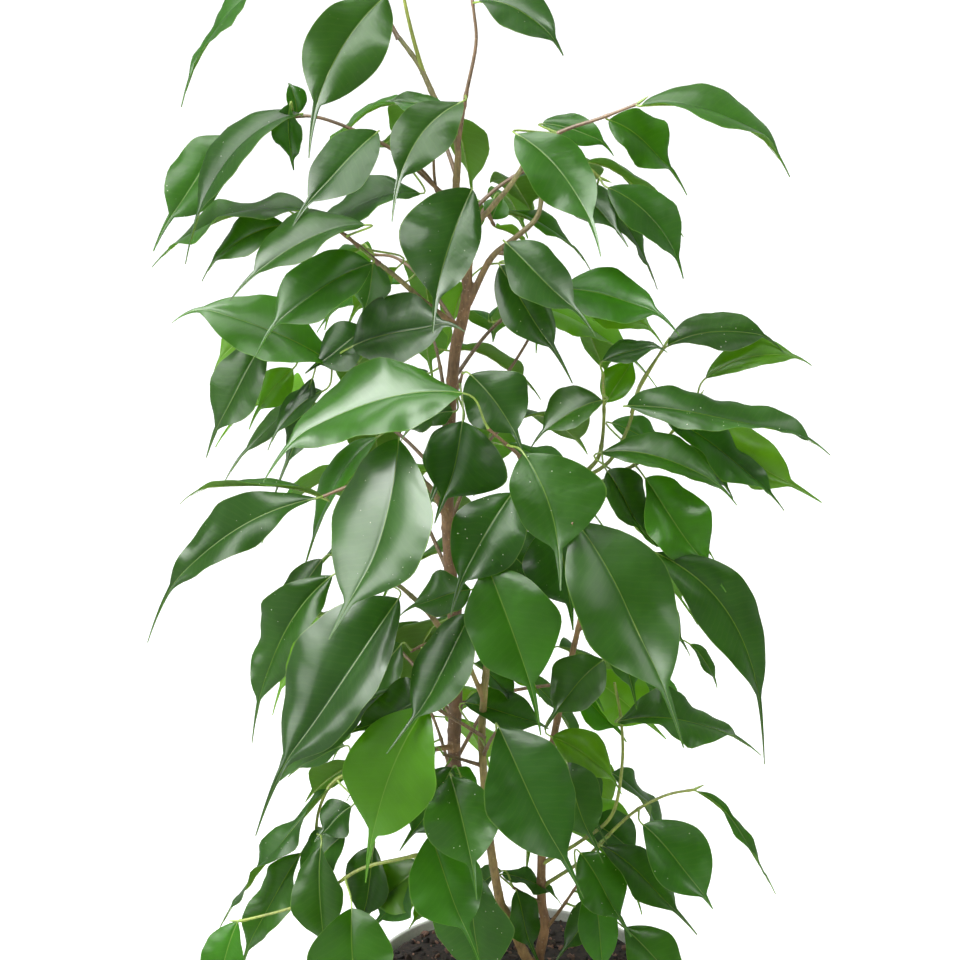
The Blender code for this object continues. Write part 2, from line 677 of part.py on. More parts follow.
def leaf_shape(leaf, spare=0.0, whole=True):
    """The leaf as (corners, triangles). Both faces are split alike, so a waved blade never meets itself."""
    length = (leaf.tip - leaf.base).length
    shares = next(shares for least, shares in BLADE_ROWS if length > least)
    rows = stalk_rows(leaf, spare) if whole else []
    rows += [blade_row(leaf, share, spare) for share in shares]
    corners = [corner for row in rows for corner in row]
    round_it = len(rows[0])
    half_way = round_it // 2
    faces = []
    for number in range(len(rows) - 1):
        for side in range(round_it):
            a = round_it * number + side
            b = round_it * number + (side + 1) % round_it
            if side < half_way:
                faces += [(a, b, b + round_it), (a, b + round_it, a + round_it)]
            else:
                faces += [(a, b, a + round_it), (b, b + round_it, a + round_it)]
    last = round_it * (len(rows) - 1)
    for first, turn in ((0, -1), (last, 1)):
        for side in range(half_way - 1):
            a, b, c, d = side, side + 1, round_it - 2 - side, round_it - 1 - side
            faces.append(tuple(first + corner for corner in (a, b, d)[::turn]))
            faces.append(tuple(first + corner for corner in (b, c, d)[::turn]))
    return corners, faces


def leaf_object(leaf):
    corners, faces = leaf_shape(leaf)
    mesh = bpy.data.meshes.new("leaf")
    mesh.from_pydata(corners, [], faces)
    shape = bmesh.new()
    shape.from_mesh(mesh)
    bmesh.ops.recalc_face_normals(shape, faces=shape.faces)
    shape.to_mesh(mesh)
    shape.free()
    return new_object("leaf", mesh)


def nearest_on(route, point):
    """The point of the route nearest to a point, off the twig's first stretch and just short of its end."""
    best = None
    for number, (a, b) in enumerate(zip(route, route[1:])):
        for step in range(8):
            share = (number + step / 8) / (len(route) - 1)
            if 0.3 <= share <= 0.98:
                spot = a.lerp(b, step / 8)
                if best is None or (spot - point).length < (best - point).length:
                    best = spot
    return best


def varied(draw):
    """The small ways in which one leaf differs from the next."""
    return {
        "fold": math.radians(FOLD * draw.uniform(0.5, 1.3)),
        "twist": math.radians(draw.uniform(-TWIST, TWIST)),
        "wave": draw.uniform(-WAVE, WAVE),
    }


def near_leaf(route, row, draw):
    """A leaf placed as it is seen from the front."""
    (start, end, (near, far), width, turn), rest = row[:5], row[5:]
    base = seen(*start, near)
    tip = seen(*end, far)
    along = (tip - base).normalized()
    look = unit_across(EYE - base, along)
    rise = along.cross(look)
    if rise.z < -0.15 or (abs(rise.z) <= 0.15 and rise.x * base.x < 0):
        rise.negate()
    angle = math.radians(turn)
    return Leaf(
        root=nearest_on(route, base),
        base=base,
        tip=tip,
        face=look * math.cos(angle) + rise * math.sin(angle),
        push=(EYE - base).normalized(),
        width=width * MM,
        bend=rest[0] if rest else BEND,
        **varied(draw),
    )


def far_spray(number, trunk, draw):
    """A spray on the far side: its twig rises outward and its leaves hang from both its sides."""
    height = FAR_LOWEST + number * FAR_STEP
    start = min(trunk, key=lambda point: abs(point.z - height))
    heading = math.radians(FAR_MIDDLE + FAR_SPREAD * ((number * GOLDEN) % 1.0 - 0.5))
    out = Vector((math.cos(heading), math.sin(heading), 0.0))
    length = FAR_REACH - FAR_TAPER * abs(number - FAR_FULLEST)
    arch = [start + out * (length * far) + UP * (length * high) for far, high in FAR_ARCH]
    route = smooth(arch, TWIG_STEPS)
    leaves = []
    for share, side in FAR_LEAVES:
        root = nearest_on(route, route[0].lerp(route[-1], share))
        way = Matrix.Rotation(math.radians(side * draw.uniform(0.8, 1.2)), 3, "Z") @ out
        size = draw.uniform(*FAR_LENGTH) * MM * (1.0 if number < FAR_SMALL_FROM else FAR_SMALL)
        droop = math.radians(draw.uniform(*FAR_DROOP))
        base = root + way * (draw.uniform(10, 14) * MM) + UP * (draw.uniform(0, 4) * MM)
        tip = base + way * (size * math.cos(droop)) - UP * (size * math.sin(droop))
        leaves.append(
            Leaf(
                root=root,
                base=base,
                tip=tip,
                face=UP * 0.8 + way * 0.6,
                push=UP,
                width=size * draw.uniform(*FAR_SLIMNESS),
                bend=draw.uniform(*FAR_BEND),
                **varied(draw),
            )
        )
    return route, leaves


def moved(leaf, lift, swing, turn):
    """The leaf with its blade pushed bodily, its tip swung the same way and its face turned."""
    chord = leaf.tip - leaf.base
    face = leaf.face.copy()
    face.rotate(Matrix.Rotation(math.radians(turn), 3, chord.normalized()))
    return replace(
        leaf,
        base=leaf.base + leaf.push * (lift * MM),
        tip=leaf.tip + leaf.push * ((lift + swing) * MM),
        face=face,
    )


def tries():
    """Ways to move a leaf clear, the smallest first."""
    found = [(lift, swing, turn) for lift in LIFTS for swing in SWINGS for turn in TURNS]
    return sorted(found, key=lambda move: 1.5 * abs(move[0]) + abs(move[1]) + 0.5 * abs(move[2]))


@dataclass(frozen=True)
class Taken:
    """The room that one thing takes up."""

    node: str
    low: Vector
    high: Vector
    tree: BVHTree


def room(node, corners, faces):
    low = Vector([min(corner[axis] for corner in corners) for axis in range(3)])
    high = Vector([max(corner[axis] for corner in corners) for axis in range(3)])
    return Taken(node, low, high, BVHTree.FromPolygons(corners, faces))


def room_of_object(node, obj):
    corners = [vertex.co.copy() for vertex in obj.data.vertices]
    faces = [tuple(face.vertices) for face in obj.data.polygons]
    return room(node, corners, faces)


def crossings(space, taken, own):
    """How many of the things taken meet the space, only those of its own node or only the others."""
    count = 0
    for other in taken:
        if (other.node == space.node) != own:
            continue
        if any(space.low[axis] > other.high[axis] or space.high[axis] < other.low[axis] for axis in range(3)):
            continue
        count += bool(space.tree.overlap(other.tree))
    return count


def settle(node, leaf, taken):
    """The leaf moved as little as keeps it clear of all that is placed before it."""
    best = None
    for move in tries():
        trial = moved(leaf, *move)
        whole = room(node, *leaf_shape(trial, SPARE))
        blade = room(node, *leaf_shape(trial, SPARE, whole=False))
        count = crossings(whole, taken, False) + crossings(blade, taken, True)
        if best is None or count < best[0]:
            best = (count, trial)
        if count == 0:
            break
    if best[0]:
        print("still crossing:", node, [round(1000 * value) for value in leaf.base], best[0])
    return best[1]


def clear_of(tree, point):
    """Whether the point lies outside the solid and at least the gap away from it."""
    nearest, normal, _, distance = tree.find_nearest(point)
    return distance >= GAP and (point - nearest).dot(normal) > 0


def seat(route, stem):
    """The twig's route with its start just clear of the bark that it grows from."""
    way = (route[1] - route[0]).normalized()
    across = unit_across(UP if abs(way.z) < 0.9 else Vector((1, 0, 0)), way) * SEAT_RING
    ring = [Matrix.Rotation(math.radians(turn), 3, way) @ across for turn in range(0, 360, 45)]
    start = route[0]
    while not all(clear_of(stem.tree, start + corner) for corner in ring):
        start = start + way * SEAT_STEP
    return [start] + [point for point in route[1:] if (point - start).dot(way) > 1 * MM]


def trunk_line(steps):
    """Points up the middle of the back stem, from the soil to the top of its leader."""
    trunk, leader = (stem_route(STEMS["stem_back"], number) for number in (0, 1))
    return smooth(trunk[1:], steps) + smooth(leader, steps)


def make_sprays(stems, taken, finish):
    """Every spray: all twigs first, then the leaves in turn, each clear of what is there already."""
    draw = random.Random(SEED)
    plans = {}
    for name, (stem, twig, rows) in SPRAYS.items():
        route = seat(smooth([seen(*point) for point in twig], TWIG_STEPS), stems[stem])
        plans[name] = (route, [near_leaf(route, row, draw) for row in rows])
    trunk = trunk_line(8)
    for number in range(FAR_SPRAYS):
        route, leaves = far_spray(number, trunk, draw)
        plans[f"spray_far_{number + 1:02d}"] = (seat(route, stems["stem_back"]), leaves)
    twigs = {name: tube(name, route, TWIG_FOOT, TWIG_END, 0) for name, (route, _) in plans.items()}
    taken += [room_of_object(name, twig) for name, twig in twigs.items()]
    for name, (_, leaves) in plans.items():
        pieces = []
        for leaf in leaves:
            placed = settle(name, leaf, taken)
            taken.append(room(name, *leaf_shape(placed)))
            pieces.append(leaf_object(placed))
        combine(twigs[name], pieces, "UNION", "MANIFOLD")
        twigs[name].data.materials.clear()
        twigs[name].data.materials.append(finish)


def main():
    clear_scene()
    pale = material("pale_plastic", PALE, 0.5)
    earth = material("potting_soil", EARTH, 0.95)
    bark = material("bark", BARK, 0.75)
    green = material("fig_leaf", GREEN, 0.3)
    pot = make_pot(pale)
    soil = make_soil(earth)
    stems = {}
    for name in STEMS:
        stems[name] = room_of_object(name, make_stem(name, bark))
    taken = [room_of_object("pot", pot), room_of_object("soil", soil), *stems.values()]
    make_sprays(stems, taken, green)


main()
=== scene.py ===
import json
import math
import random
from dataclasses import dataclass, replace

import bpy
import numpy as np
from mathutils import Matrix, Vector, noise
from mathutils.kdtree import KDTree

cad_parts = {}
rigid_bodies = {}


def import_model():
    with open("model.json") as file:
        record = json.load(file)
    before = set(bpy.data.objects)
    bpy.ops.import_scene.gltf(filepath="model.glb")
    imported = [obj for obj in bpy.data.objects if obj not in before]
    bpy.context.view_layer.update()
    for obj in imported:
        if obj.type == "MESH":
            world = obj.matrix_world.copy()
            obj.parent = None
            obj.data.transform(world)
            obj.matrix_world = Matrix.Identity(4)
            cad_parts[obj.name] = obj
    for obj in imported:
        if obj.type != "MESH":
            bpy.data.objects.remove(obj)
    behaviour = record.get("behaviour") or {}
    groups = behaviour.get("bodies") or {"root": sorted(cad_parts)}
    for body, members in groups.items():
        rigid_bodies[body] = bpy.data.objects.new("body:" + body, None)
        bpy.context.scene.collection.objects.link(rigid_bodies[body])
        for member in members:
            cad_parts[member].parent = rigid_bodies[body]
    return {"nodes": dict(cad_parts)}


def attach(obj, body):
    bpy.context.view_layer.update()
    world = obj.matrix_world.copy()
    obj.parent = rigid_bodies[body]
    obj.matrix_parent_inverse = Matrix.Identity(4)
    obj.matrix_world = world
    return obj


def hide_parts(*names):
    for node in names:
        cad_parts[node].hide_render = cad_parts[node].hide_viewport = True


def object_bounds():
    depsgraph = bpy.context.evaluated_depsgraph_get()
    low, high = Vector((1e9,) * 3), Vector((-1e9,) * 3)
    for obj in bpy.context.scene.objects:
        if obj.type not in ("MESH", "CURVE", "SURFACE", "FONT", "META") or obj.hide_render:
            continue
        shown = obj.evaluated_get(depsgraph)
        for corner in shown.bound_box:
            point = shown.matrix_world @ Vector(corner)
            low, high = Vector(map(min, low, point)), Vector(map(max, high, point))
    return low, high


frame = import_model()
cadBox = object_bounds()
print("frame loaded:", len(frame["nodes"]), "solids")

mm = 0.001
upward = Vector((0.0, 0.0, 1.0))


# Studio: a wide white floor, a soft sun, a soft box on each side, and some that only show in the gloss
studio = {
    "eye": (-0.020, -1.189, 0.828),
    "aim": (-0.020, 0.0, 0.442),
    "lens": 90.0,
    "floorSize": 80.0,
    "floorColour": "#ffffff",
    "skyColour": "#ffffff",
    "backdrop": 1.0,      # how bright the surroundings look to the camera
    "bright": (-0.1, 0.75, 0.65),   # the way to the brightest of them, above and behind the plant
    "fade": (-0.1, 0.75),  # how far towards that way the studio is still dark, and where it is brightest
    "frontLight": 0.03,   # what they shed from the camera's side, where the studio is dark
    "backLight": 0.85,    # and from the white backdrop
    "mirrored": 0.7,      # how much of them shows in the leaves' gloss
    "mirroredFloor": 0.45,   # and how much of the floor
    "sunPower": 2.4,
    "sunTilt": (14.0, -18.0),
    "sunWidth": 26.0,
    "lamps": (            # place, size, watts, and whether it lights or only shows in the gloss
        ((-1.4, -0.8, 1.8), (1.1, 1.1), 32.0, True),
        ((-1.6, -0.95, 1.35), (1.7, 1.7), 80.0, False),
        ((-0.2, -1.2, 1.88), (1.6, 0.9), 78.0, False),
        ((1.5, -0.5, 1.5), (0.6, 1.0), 9.0, True),
        ((-0.5, 0.3, 2.4), (2.0, 1.6), 66.0, False),
    ),
}


def linear(hexColour, alpha=1.0):
    shades = [int(hexColour[i:i + 2], 16) / 255 for i in (1, 3, 5)]
    return (*[s / 12.92 if s <= 0.04045 else ((s + 0.055) / 1.055) ** 2.4 for s in shades], alpha)


def feed(tree, node, inputs):
    for key, value in inputs.items():
        if isinstance(value, bpy.types.NodeSocket):
            tree.links.new(value, node.inputs[key])
        else:
            node.inputs[key].default_value = value


def addNode(tree, kind, inputs=(), out=0, **settings):
    # inputs come in the node's own order, or by number or name where some are left out
    node = tree.nodes.new("ShaderNode" + kind)
    for name, value in settings.items():
        setattr(node, name, value)
    feed(tree, node, inputs if isinstance(inputs, dict) else dict(enumerate(inputs)))
    return node.outputs[out]


def deselectAll():
    bpy.ops.object.select_all(action="DESELECT")


def selectOnly(*objects):
    deselectAll()
    for obj in objects:
        obj.select_set(True)
    bpy.context.view_layer.objects.active = objects[0]


def applyModifier(obj, kind, **settings):
    selectOnly(obj)
    bpy.ops.object.modifier_add(type=kind)
    modifier = obj.modifiers[-1]
    for name, value in settings.items():
        setattr(modifier, name, value)
    bpy.ops.object.modifier_apply(modifier=modifier.name)


def newMaterial(name):
    material = bpy.data.materials.new(name)
    material.use_nodes = True
    return material, material.node_tree, material.node_tree.nodes["Principled BSDF"]


def setStudio():
    scene = bpy.context.scene
    scene.view_settings.view_transform = "Standard"
    bpy.ops.object.camera_add(location=studio["eye"])
    camera = bpy.context.object
    camera.rotation_euler = (Vector(studio["aim"]) - camera.location).to_track_quat("-Z", "Y").to_euler()
    camera.data.lens = studio["lens"]
    camera.data.sensor_width = 36.0
    scene.camera = camera
    for place, size, watts, lights in studio["lamps"]:
        bpy.ops.object.light_add(type="AREA", location=place)
        lamp = bpy.context.object
        lamp.rotation_euler = (Vector(studio["aim"]) - lamp.location).to_track_quat("-Z", "Y").to_euler()
        lamp.data.shape = "RECTANGLE"
        lamp.data.size, lamp.data.size_y = size
        lamp.data.energy = watts
        lamp.visible_diffuse = lights
    tilt = [math.radians(angle) for angle in studio["sunTilt"]]
    bpy.ops.object.light_add(type="SUN", rotation=(*tilt, 0.0))
    sun = bpy.context.object.data
    sun.energy = studio["sunPower"]
    sun.angle = math.radians(studio["sunWidth"])
    world = bpy.data.worlds.new("studioWhite")
    scene.world = world
    world.use_nodes = True
    tree = world.node_tree
    way = addNode(tree, "TexCoord", out="Generated")
    facing = addNode(tree, "VectorMath", (way, studio["bright"]), "Value", operation="DOT_PRODUCT")
    light = addNode(tree, "MapRange", (facing, *studio["fade"], studio["frontLight"], studio["backLight"]))
    onCamera = addNode(tree, "LightPath", out="Is Camera Ray")
    inGloss = addNode(tree, "LightPath", out="Is Glossy Ray")
    dim = addNode(tree, "MapRange", (inGloss, 0.0, 1.0, 1.0, studio["mirrored"]))
    soft = addNode(tree, "Math", (light, dim), operation="MULTIPLY")
    power = addNode(tree, "Mix", {0: onCamera, 2: soft, 3: studio["backdrop"]}, data_type="FLOAT")
    feed(tree, tree.nodes["Background"], {"Color": linear(studio["skyColour"]), "Strength": power})
    deselectAll()
    bpy.ops.mesh.primitive_plane_add(size=studio["floorSize"])
    floor = bpy.context.object
    floor.name = "studioFloor"
    paper, tree, shader = newMaterial("paperBackdrop")  # matt paper roll: no shine of its own
    inGloss = addNode(tree, "LightPath", out="Is Glossy Ray")
    share = addNode(tree, "MapRange", (inGloss, 0.0, 1.0, 0.0, 1.0 - studio["mirroredFloor"]))
    shades = {0: share, 6: linear(studio["floorColour"]), 7: linear("#000000")}
    colour = addNode(tree, "Mix", shades, 2, data_type="RGBA")
    feed(tree, shader, {"Base Color": colour, "Roughness": 0.9})
    floor.data.materials.append(paper)
    print("studio set")


# Living fig leaf under its waxy cuticle: deep even green with a broad pale sheen where it faces the light
leafFinish = {
    "mottle": 45.0,         # noise cycles a metre: patches of about 20 mm
    "quilt": 170.0,         # the soft unevenness between the veins
    "grain": 1400.0,        # the pores of the skin
    "stray": 110.0,         # what bends the side veins
    "ribColour": "#8fae4c",
    "veinColour": "#6f9a48",
    "marginColour": "#8fae5a",
    "speckColour": "#e9efe6",
    "underColour": "#7fa03c",
    "rib": (0.5, 1.2, 1.0, 0.0),          # each mask: where it starts and ends, its values there
    "margin": (0.97, 1.0, 0.0, 1.0),
    "veinWave": (0.55, 1.0, 0.0, 1.0),
    "veinStart": (0.04, 0.14, 0.0, 1.0),
    "veinEnd": (0.75, 0.95, 1.0, 0.0),
    "patchShade": (0.3, 0.7, 0.86, 1.14),
    "patchGloss": (0.25, 0.75, 0.3, 0.44),   # two last: the roughness of the upper face
    "underRoughness": 0.55,
    "ribShare": 0.4,        # how much of its own colour each of them shows
    "marginShare": 0.25,
    "veinShare": (0.1, 0.025),       # on the under side and on the upper one
    "underShare": 0.4,
    "veinRelief": (-0.4, 0.08),
    "quiltRelief": 2.4,
    "grainRelief": 0.12,
    "relief": (0.7, 0.0002),         # strength, depth in metres
    "ior": 1.34,
    "coatRoughness": 0.24,
    "through": 0.36,        # share of the light that goes into the blade, some of it to come out behind
    "glowDepth": 0.8,
    "glow": (3.3, 3.0, 1.0),
    "speckSpacing": 220.0,  # cells a metre: about one speck in 5 mm
    "speckSize": 0.075,
    "speckCore": 0.6,
}
tones = {
    "deep": "#2a5213",
    "mid": "#2f5e12",
    "bright": "#34680c",
    "young": "#467600",
    "olive": "#528010",
}


def leafMaterial(upper):
    material, tree, shader = newMaterial("figLeafUpper" if upper else "figLeafUnder")
    look = leafFinish
    tone = addNode(tree, "Attribute", attribute_name="tone")
    bladePlace = addNode(tree, "Attribute", out="Vector", attribute_name="bladePlace")
    across, ribs, along = addNode(tree, "SeparateXYZ", (bladePlace,)).node.outputs
    spot = addNode(tree, "TexCoord", out="Object")
    side = addNode(tree, "Math", (across,), operation="ABSOLUTE")
    ribSide = addNode(tree, "Math", (ribs,), operation="ABSOLUTE")
    patches = addNode(tree, "TexNoise", {"Vector": spot, "Scale": look["mottle"], "Detail": 3.0})
    grain = addNode(tree, "TexNoise", {"Vector": spot, "Scale": look["grain"], "Detail": 2.0})
    quilt = addNode(tree, "TexNoise", {"Vector": spot, "Scale": look["quilt"], "Detail": 2.0})
    stray = addNode(tree, "TexNoise", {"Vector": spot, "Scale": look["stray"], "Detail": 1.0})
    phase = addNode(tree, "Math", (stray, along), operation="ADD")
    turns = addNode(tree, "Math", (phase, math.tau), operation="MULTIPLY")
    wave = addNode(tree, "Math", (turns,), operation="COSINE")
    masks = {}
    for name, value in (("rib", ribSide), ("margin", side), ("veinWave", wave), ("veinStart", side),
                        ("veinEnd", side)):
        masks[name] = addNode(tree, "MapRange", (value, *look[name]), interpolation_type="SMOOTHSTEP")
    veins = masks["veinWave"]
    for name in ("veinStart", "veinEnd"):
        veins = addNode(tree, "Math", (veins, masks[name]), operation="MULTIPLY")
    shade = addNode(tree, "MapRange", (patches, *look["patchShade"]))
    grey = addNode(tree, "CombineColor", (shade, shade, shade))
    colour = addNode(tree, "Mix", {0: 1.0, 6: tone, 7: grey}, 2, data_type="RGBA", blend_type="MULTIPLY")
    if not upper:
        colour = addNode(tree, "Mix", {0: look["underShare"], 6: colour, 7: linear(look["underColour"])}, 2,
                         data_type="RGBA")
    for mask, strength, name in ((veins, look["veinShare"][upper], "veinColour"),
                                 (masks["rib"], look["ribShare"], "ribColour"),
                                 (masks["margin"], look["marginShare"], "marginColour")):
        share = addNode(tree, "Math", (mask, strength), operation="MULTIPLY")
        colour = addNode(tree, "Mix", {0: share, 6: colour, 7: linear(look[name])}, 2, data_type="RGBA")
    roughness = look["underRoughness"]
    if upper:
        cells = addNode(tree, "TexVoronoi", {"Vector": spot, "Scale": look["speckSpacing"]}, "Distance")
        edge = (look["speckSize"] * look["speckCore"], look["speckSize"], 1.0, 0.0)
        specks = addNode(tree, "MapRange", (cells, *edge), interpolation_type="SMOOTHSTEP")
        dusty = addNode(tree, "Attribute", out="Fac", attribute_name="specks")
        dust = addNode(tree, "Math", (specks, dusty), operation="MULTIPLY")
        shades = {0: dust, 6: colour, 7: linear(look["speckColour"])}
        colour = addNode(tree, "Mix", shades, 2, data_type="RGBA")
        roughness = addNode(tree, "MapRange", (patches, *look["patchGloss"]))
        wax = addNode(tree, "Attribute", out="Fac", attribute_name="wax")
        feed(tree, shader, {"Coat Weight": wax, "Coat Roughness": look["coatRoughness"]})
    quilt = addNode(tree, "Math", (quilt, look["quiltRelief"]), operation="MULTIPLY")
    ridges = addNode(tree, "Math", (veins, look["veinRelief"][upper]), operation="MULTIPLY")
    pores = addNode(tree, "Math", (grain, look["grainRelief"]), operation="MULTIPLY")
    relief = addNode(tree, "Math", (quilt, ridges), operation="SUBTRACT")
    relief = addNode(tree, "Math", (relief, pores), operation="ADD")
    strength, depth = look["relief"]
    bump = addNode(tree, "Bump", {"Height": relief, "Strength": strength, "Distance": depth})
    feed(tree, shader, {"Base Color": colour, "Normal": bump, "Roughness": roughness, "IOR": look["ior"]})
    lighter = addNode(tree, "Gamma", (colour, look["glowDepth"]))
    glow = addNode(tree, "Mix", {0: 1.0, 6: lighter, 7: (*look["glow"], 1.0)}, 2, data_type="RGBA",
                   blend_type="MULTIPLY")
    passing = addNode(tree, "BsdfTranslucent", {"Color": glow})
    skin = addNode(tree, "MixShader", (look["through"], shader.outputs[0], passing))
    feed(tree, tree.nodes["Material Output"], {"Surface": skin})
    return material


# Bark of young twigs: green at first, brown with age, with a satin skin
barkFinish = {
    "grain": 900.0,        # noise cycles a metre, stretched along the stem
    "stretch": (1.0, 1.0, 0.25),
    "blotches": 90.0,
    "shade": (0.7, 1.3, 0.6, 1.4),
    "lenticels": 380.0,    # cells a metre
    "lenticel": (0.1, 0.2, 0.5, 0.0),
    "lenticelColour": "#b79f7c",
    "relief": (0.5, 0.0003),   # strength, depth in metres
}


def barkMaterial(name, roughness, speckled):
    material, tree, shader = newMaterial(name)
    look = barkFinish
    tone = addNode(tree, "Attribute", attribute_name="tone")
    spot = addNode(tree, "TexCoord", out="Object")
    long = addNode(tree, "Mapping", {"Vector": spot, "Scale": look["stretch"]})
    grain = addNode(tree, "TexNoise", {"Vector": long, "Scale": look["grain"], "Detail": 4.0})
    blotch = addNode(tree, "TexNoise", {"Vector": spot, "Scale": look["blotches"], "Detail": 3.0})
    both = addNode(tree, "Math", (grain, blotch), operation="ADD")
    shade = addNode(tree, "MapRange", (both, *look["shade"]))
    grey = addNode(tree, "CombineColor", (shade, shade, shade))
    colour = addNode(tree, "Mix", {0: 1.0, 6: tone, 7: grey}, 2, data_type="RGBA", blend_type="MULTIPLY")
    if speckled:
        cells = addNode(tree, "TexVoronoi", {"Vector": spot, "Scale": look["lenticels"]}, "Distance")
        pores = addNode(tree, "MapRange", (cells, *look["lenticel"]))
        shades = {0: pores, 6: colour, 7: linear(look["lenticelColour"])}
        colour = addNode(tree, "Mix", shades, 2, data_type="RGBA")
    strength, depth = look["relief"]
    bump = addNode(tree, "Bump", {"Height": both, "Strength": strength, "Distance": depth})
    feed(tree, shader, {"Base Color": colour, "Normal": bump, "Roughness": roughness})
    return material


def speckledMaterial(name, look):
    # an even colour between two shades, in specks of the size that the grain gives
    material, tree, shader = newMaterial(name)
    spot = addNode(tree, "TexCoord", out="Object")
    specks = addNode(tree, "TexNoise", {"Vector": spot, "Scale": look["grain"], "Detail": 5.0})
    share = addNode(tree, "MapRange", (specks, 0.35, 0.65))
    darker, lighter = (linear(colour) for colour in look["colours"])
    colour = addNode(tree, "Mix", {0: share, 6: darker, 7: lighter}, 2, data_type="RGBA")
    bump = addNode(tree, "Bump", {"Height": specks, "Strength": 0.6, "Distance": look["relief"]})
    feed(tree, shader, {"Base Color": colour, "Normal": bump, "Roughness": look["roughness"]})
    return material


def turnedShape(name, profile, sides):
    # a ring primitive, from which each next ring is extruded, raised and resized; then both ends are closed
    deselectAll()
    radius, height = profile[0]
    bpy.ops.mesh.primitive_circle_add(vertices=sides, radius=radius * mm, location=(0, 0, height * mm))
    bpy.ops.object.transform_apply(location=True, rotation=False, scale=False)
    shape = bpy.context.object
    shape.name = name
    bpy.ops.object.mode_set(mode="EDIT")
    bpy.ops.mesh.select_all(action="SELECT")
    for nextRadius, nextHeight in profile[1:]:
        bpy.ops.mesh.extrude_edges_move(TRANSFORM_OT_translate={"value": (0, 0, (nextHeight - height) * mm)})
        grow = nextRadius / radius
        bpy.ops.transform.resize(value=(grow, grow, 1), center_override=(0, 0, nextHeight * mm))
        radius, height = nextRadius, nextHeight
    bpy.ops.mesh.edge_face_add()
    bpy.ops.mesh.select_all(action="DESELECT")
    bpy.ops.object.mode_set(mode="OBJECT")
    for vertex in shape.data.vertices[:sides]:
        vertex.select = True
    bpy.ops.object.mode_set(mode="EDIT")
    bpy.ops.mesh.edge_face_add()
    bpy.ops.mesh.select_all(action="SELECT")
    bpy.ops.mesh.normals_make_consistent(inside=False)
    bpy.ops.object.mode_set(mode="OBJECT")
    return shape


def dress(piece, node):
    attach(piece, "root")
    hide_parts(node)


# Pot: moulded polypropylene, pale, with a plain collar and a rolled lip
potShape = {
    "profile": (
        (56.8, 0.0), (58.0, 1.2), (79.8, 126.0), (82.6, 127.2), (85.0, 148.8), (83.8, 150.0), (82.4, 150.0),
        (81.8, 149.3), (55.0, 3.0),
    ),
    "sides": 128,
    "lip": 0.7,
    "holes": 6,
    "holeRadius": 5.0,
    "holeRing": 36.0,
    "colours": ("#d3d3cf", "#dededa"),
    "grain": 700.0,      # a fine mould texture, drawn coarser than life so that it shows
    "relief": 0.00005,
    "roughness": 0.42,
}


def makePot():
    pot = turnedShape("potShell", potShape["profile"], potShape["sides"])
    applyModifier(pot, "BEVEL", width=potShape["lip"] * mm, segments=3, limit_method="ANGLE",
                  angle_limit=math.radians(25.0))
    for number in range(potShape["holes"]):
        angle = math.tau * number / potShape["holes"]
        place = [potShape["holeRing"] * mm * turn for turn in (math.cos(angle), math.sin(angle))]
        deselectAll()
        bpy.ops.mesh.primitive_cylinder_add(vertices=32, radius=potShape["holeRadius"] * mm, depth=12 * mm,
                                            location=(*place, 0.0))
        drill = bpy.context.object
        applyModifier(pot, "BOOLEAN", operation="DIFFERENCE", object=drill, solver="EXACT")
        bpy.data.objects.remove(drill)
    pot.data.materials.clear()
    pot.data.materials.append(speckledMaterial("polypropylenePot", potShape))
    selectOnly(pot)
    bpy.ops.object.shade_smooth_by_angle(angle=math.radians(35.0))
    dress(pot, "pot")
    print("pot made")


# Potting soil: peat and bark crumbs, almost black when moist
soilShape = {
    "top": 145.5,
    "middle": 2.0,
    "edge": 78.6,
    "rings": 40,
    "sides": 120,
    "sideProfile": ((80.5, 144.0), (54.7, 3.3)),
    "lumps": ((60, 1.1), (210, 0.8), (560, 0.45)),   # noise cycles a metre, height
    "crumbs": 1300,
    "crumbRadius": (0.5, 1.9),
    "crumbStretch": ((0.7, 1.7), (0.6, 1.1), (0.45, 0.9)),
    "crumbDents": (0.5, 1.3),    # depth, cycles across a crumb
    "crumbSeat": 0.15,           # how far its middle lies above the bed, of its size
    "mound": (1.6, 10.0),        # the soil's rise around a stem: height, reach
    "colours": ("#120c09", "#33251c"),
    "grain": 420.0,
    "relief": 0.0008,
    "roughness": 0.9,
    "crumbColours": ("#1a120d", "#241a14", "#3a2a20", "#6b4c3e", "#8a6656", "#0f0b09"),
}


def soilHeight(x, y):
    height = soilShape["top"]
    for cycles, lump in soilShape["lumps"]:
        height += lump * noise.noise((x * cycles, y * cycles, 0.0))
    for stem in stems.values():
        away = math.hypot(x / mm - stem["foot"][0], y / mm - stem["foot"][1])
        rise, reach = soilShape["mound"]
        height += rise * math.exp(-(away / reach) ** 2)
    return height * mm


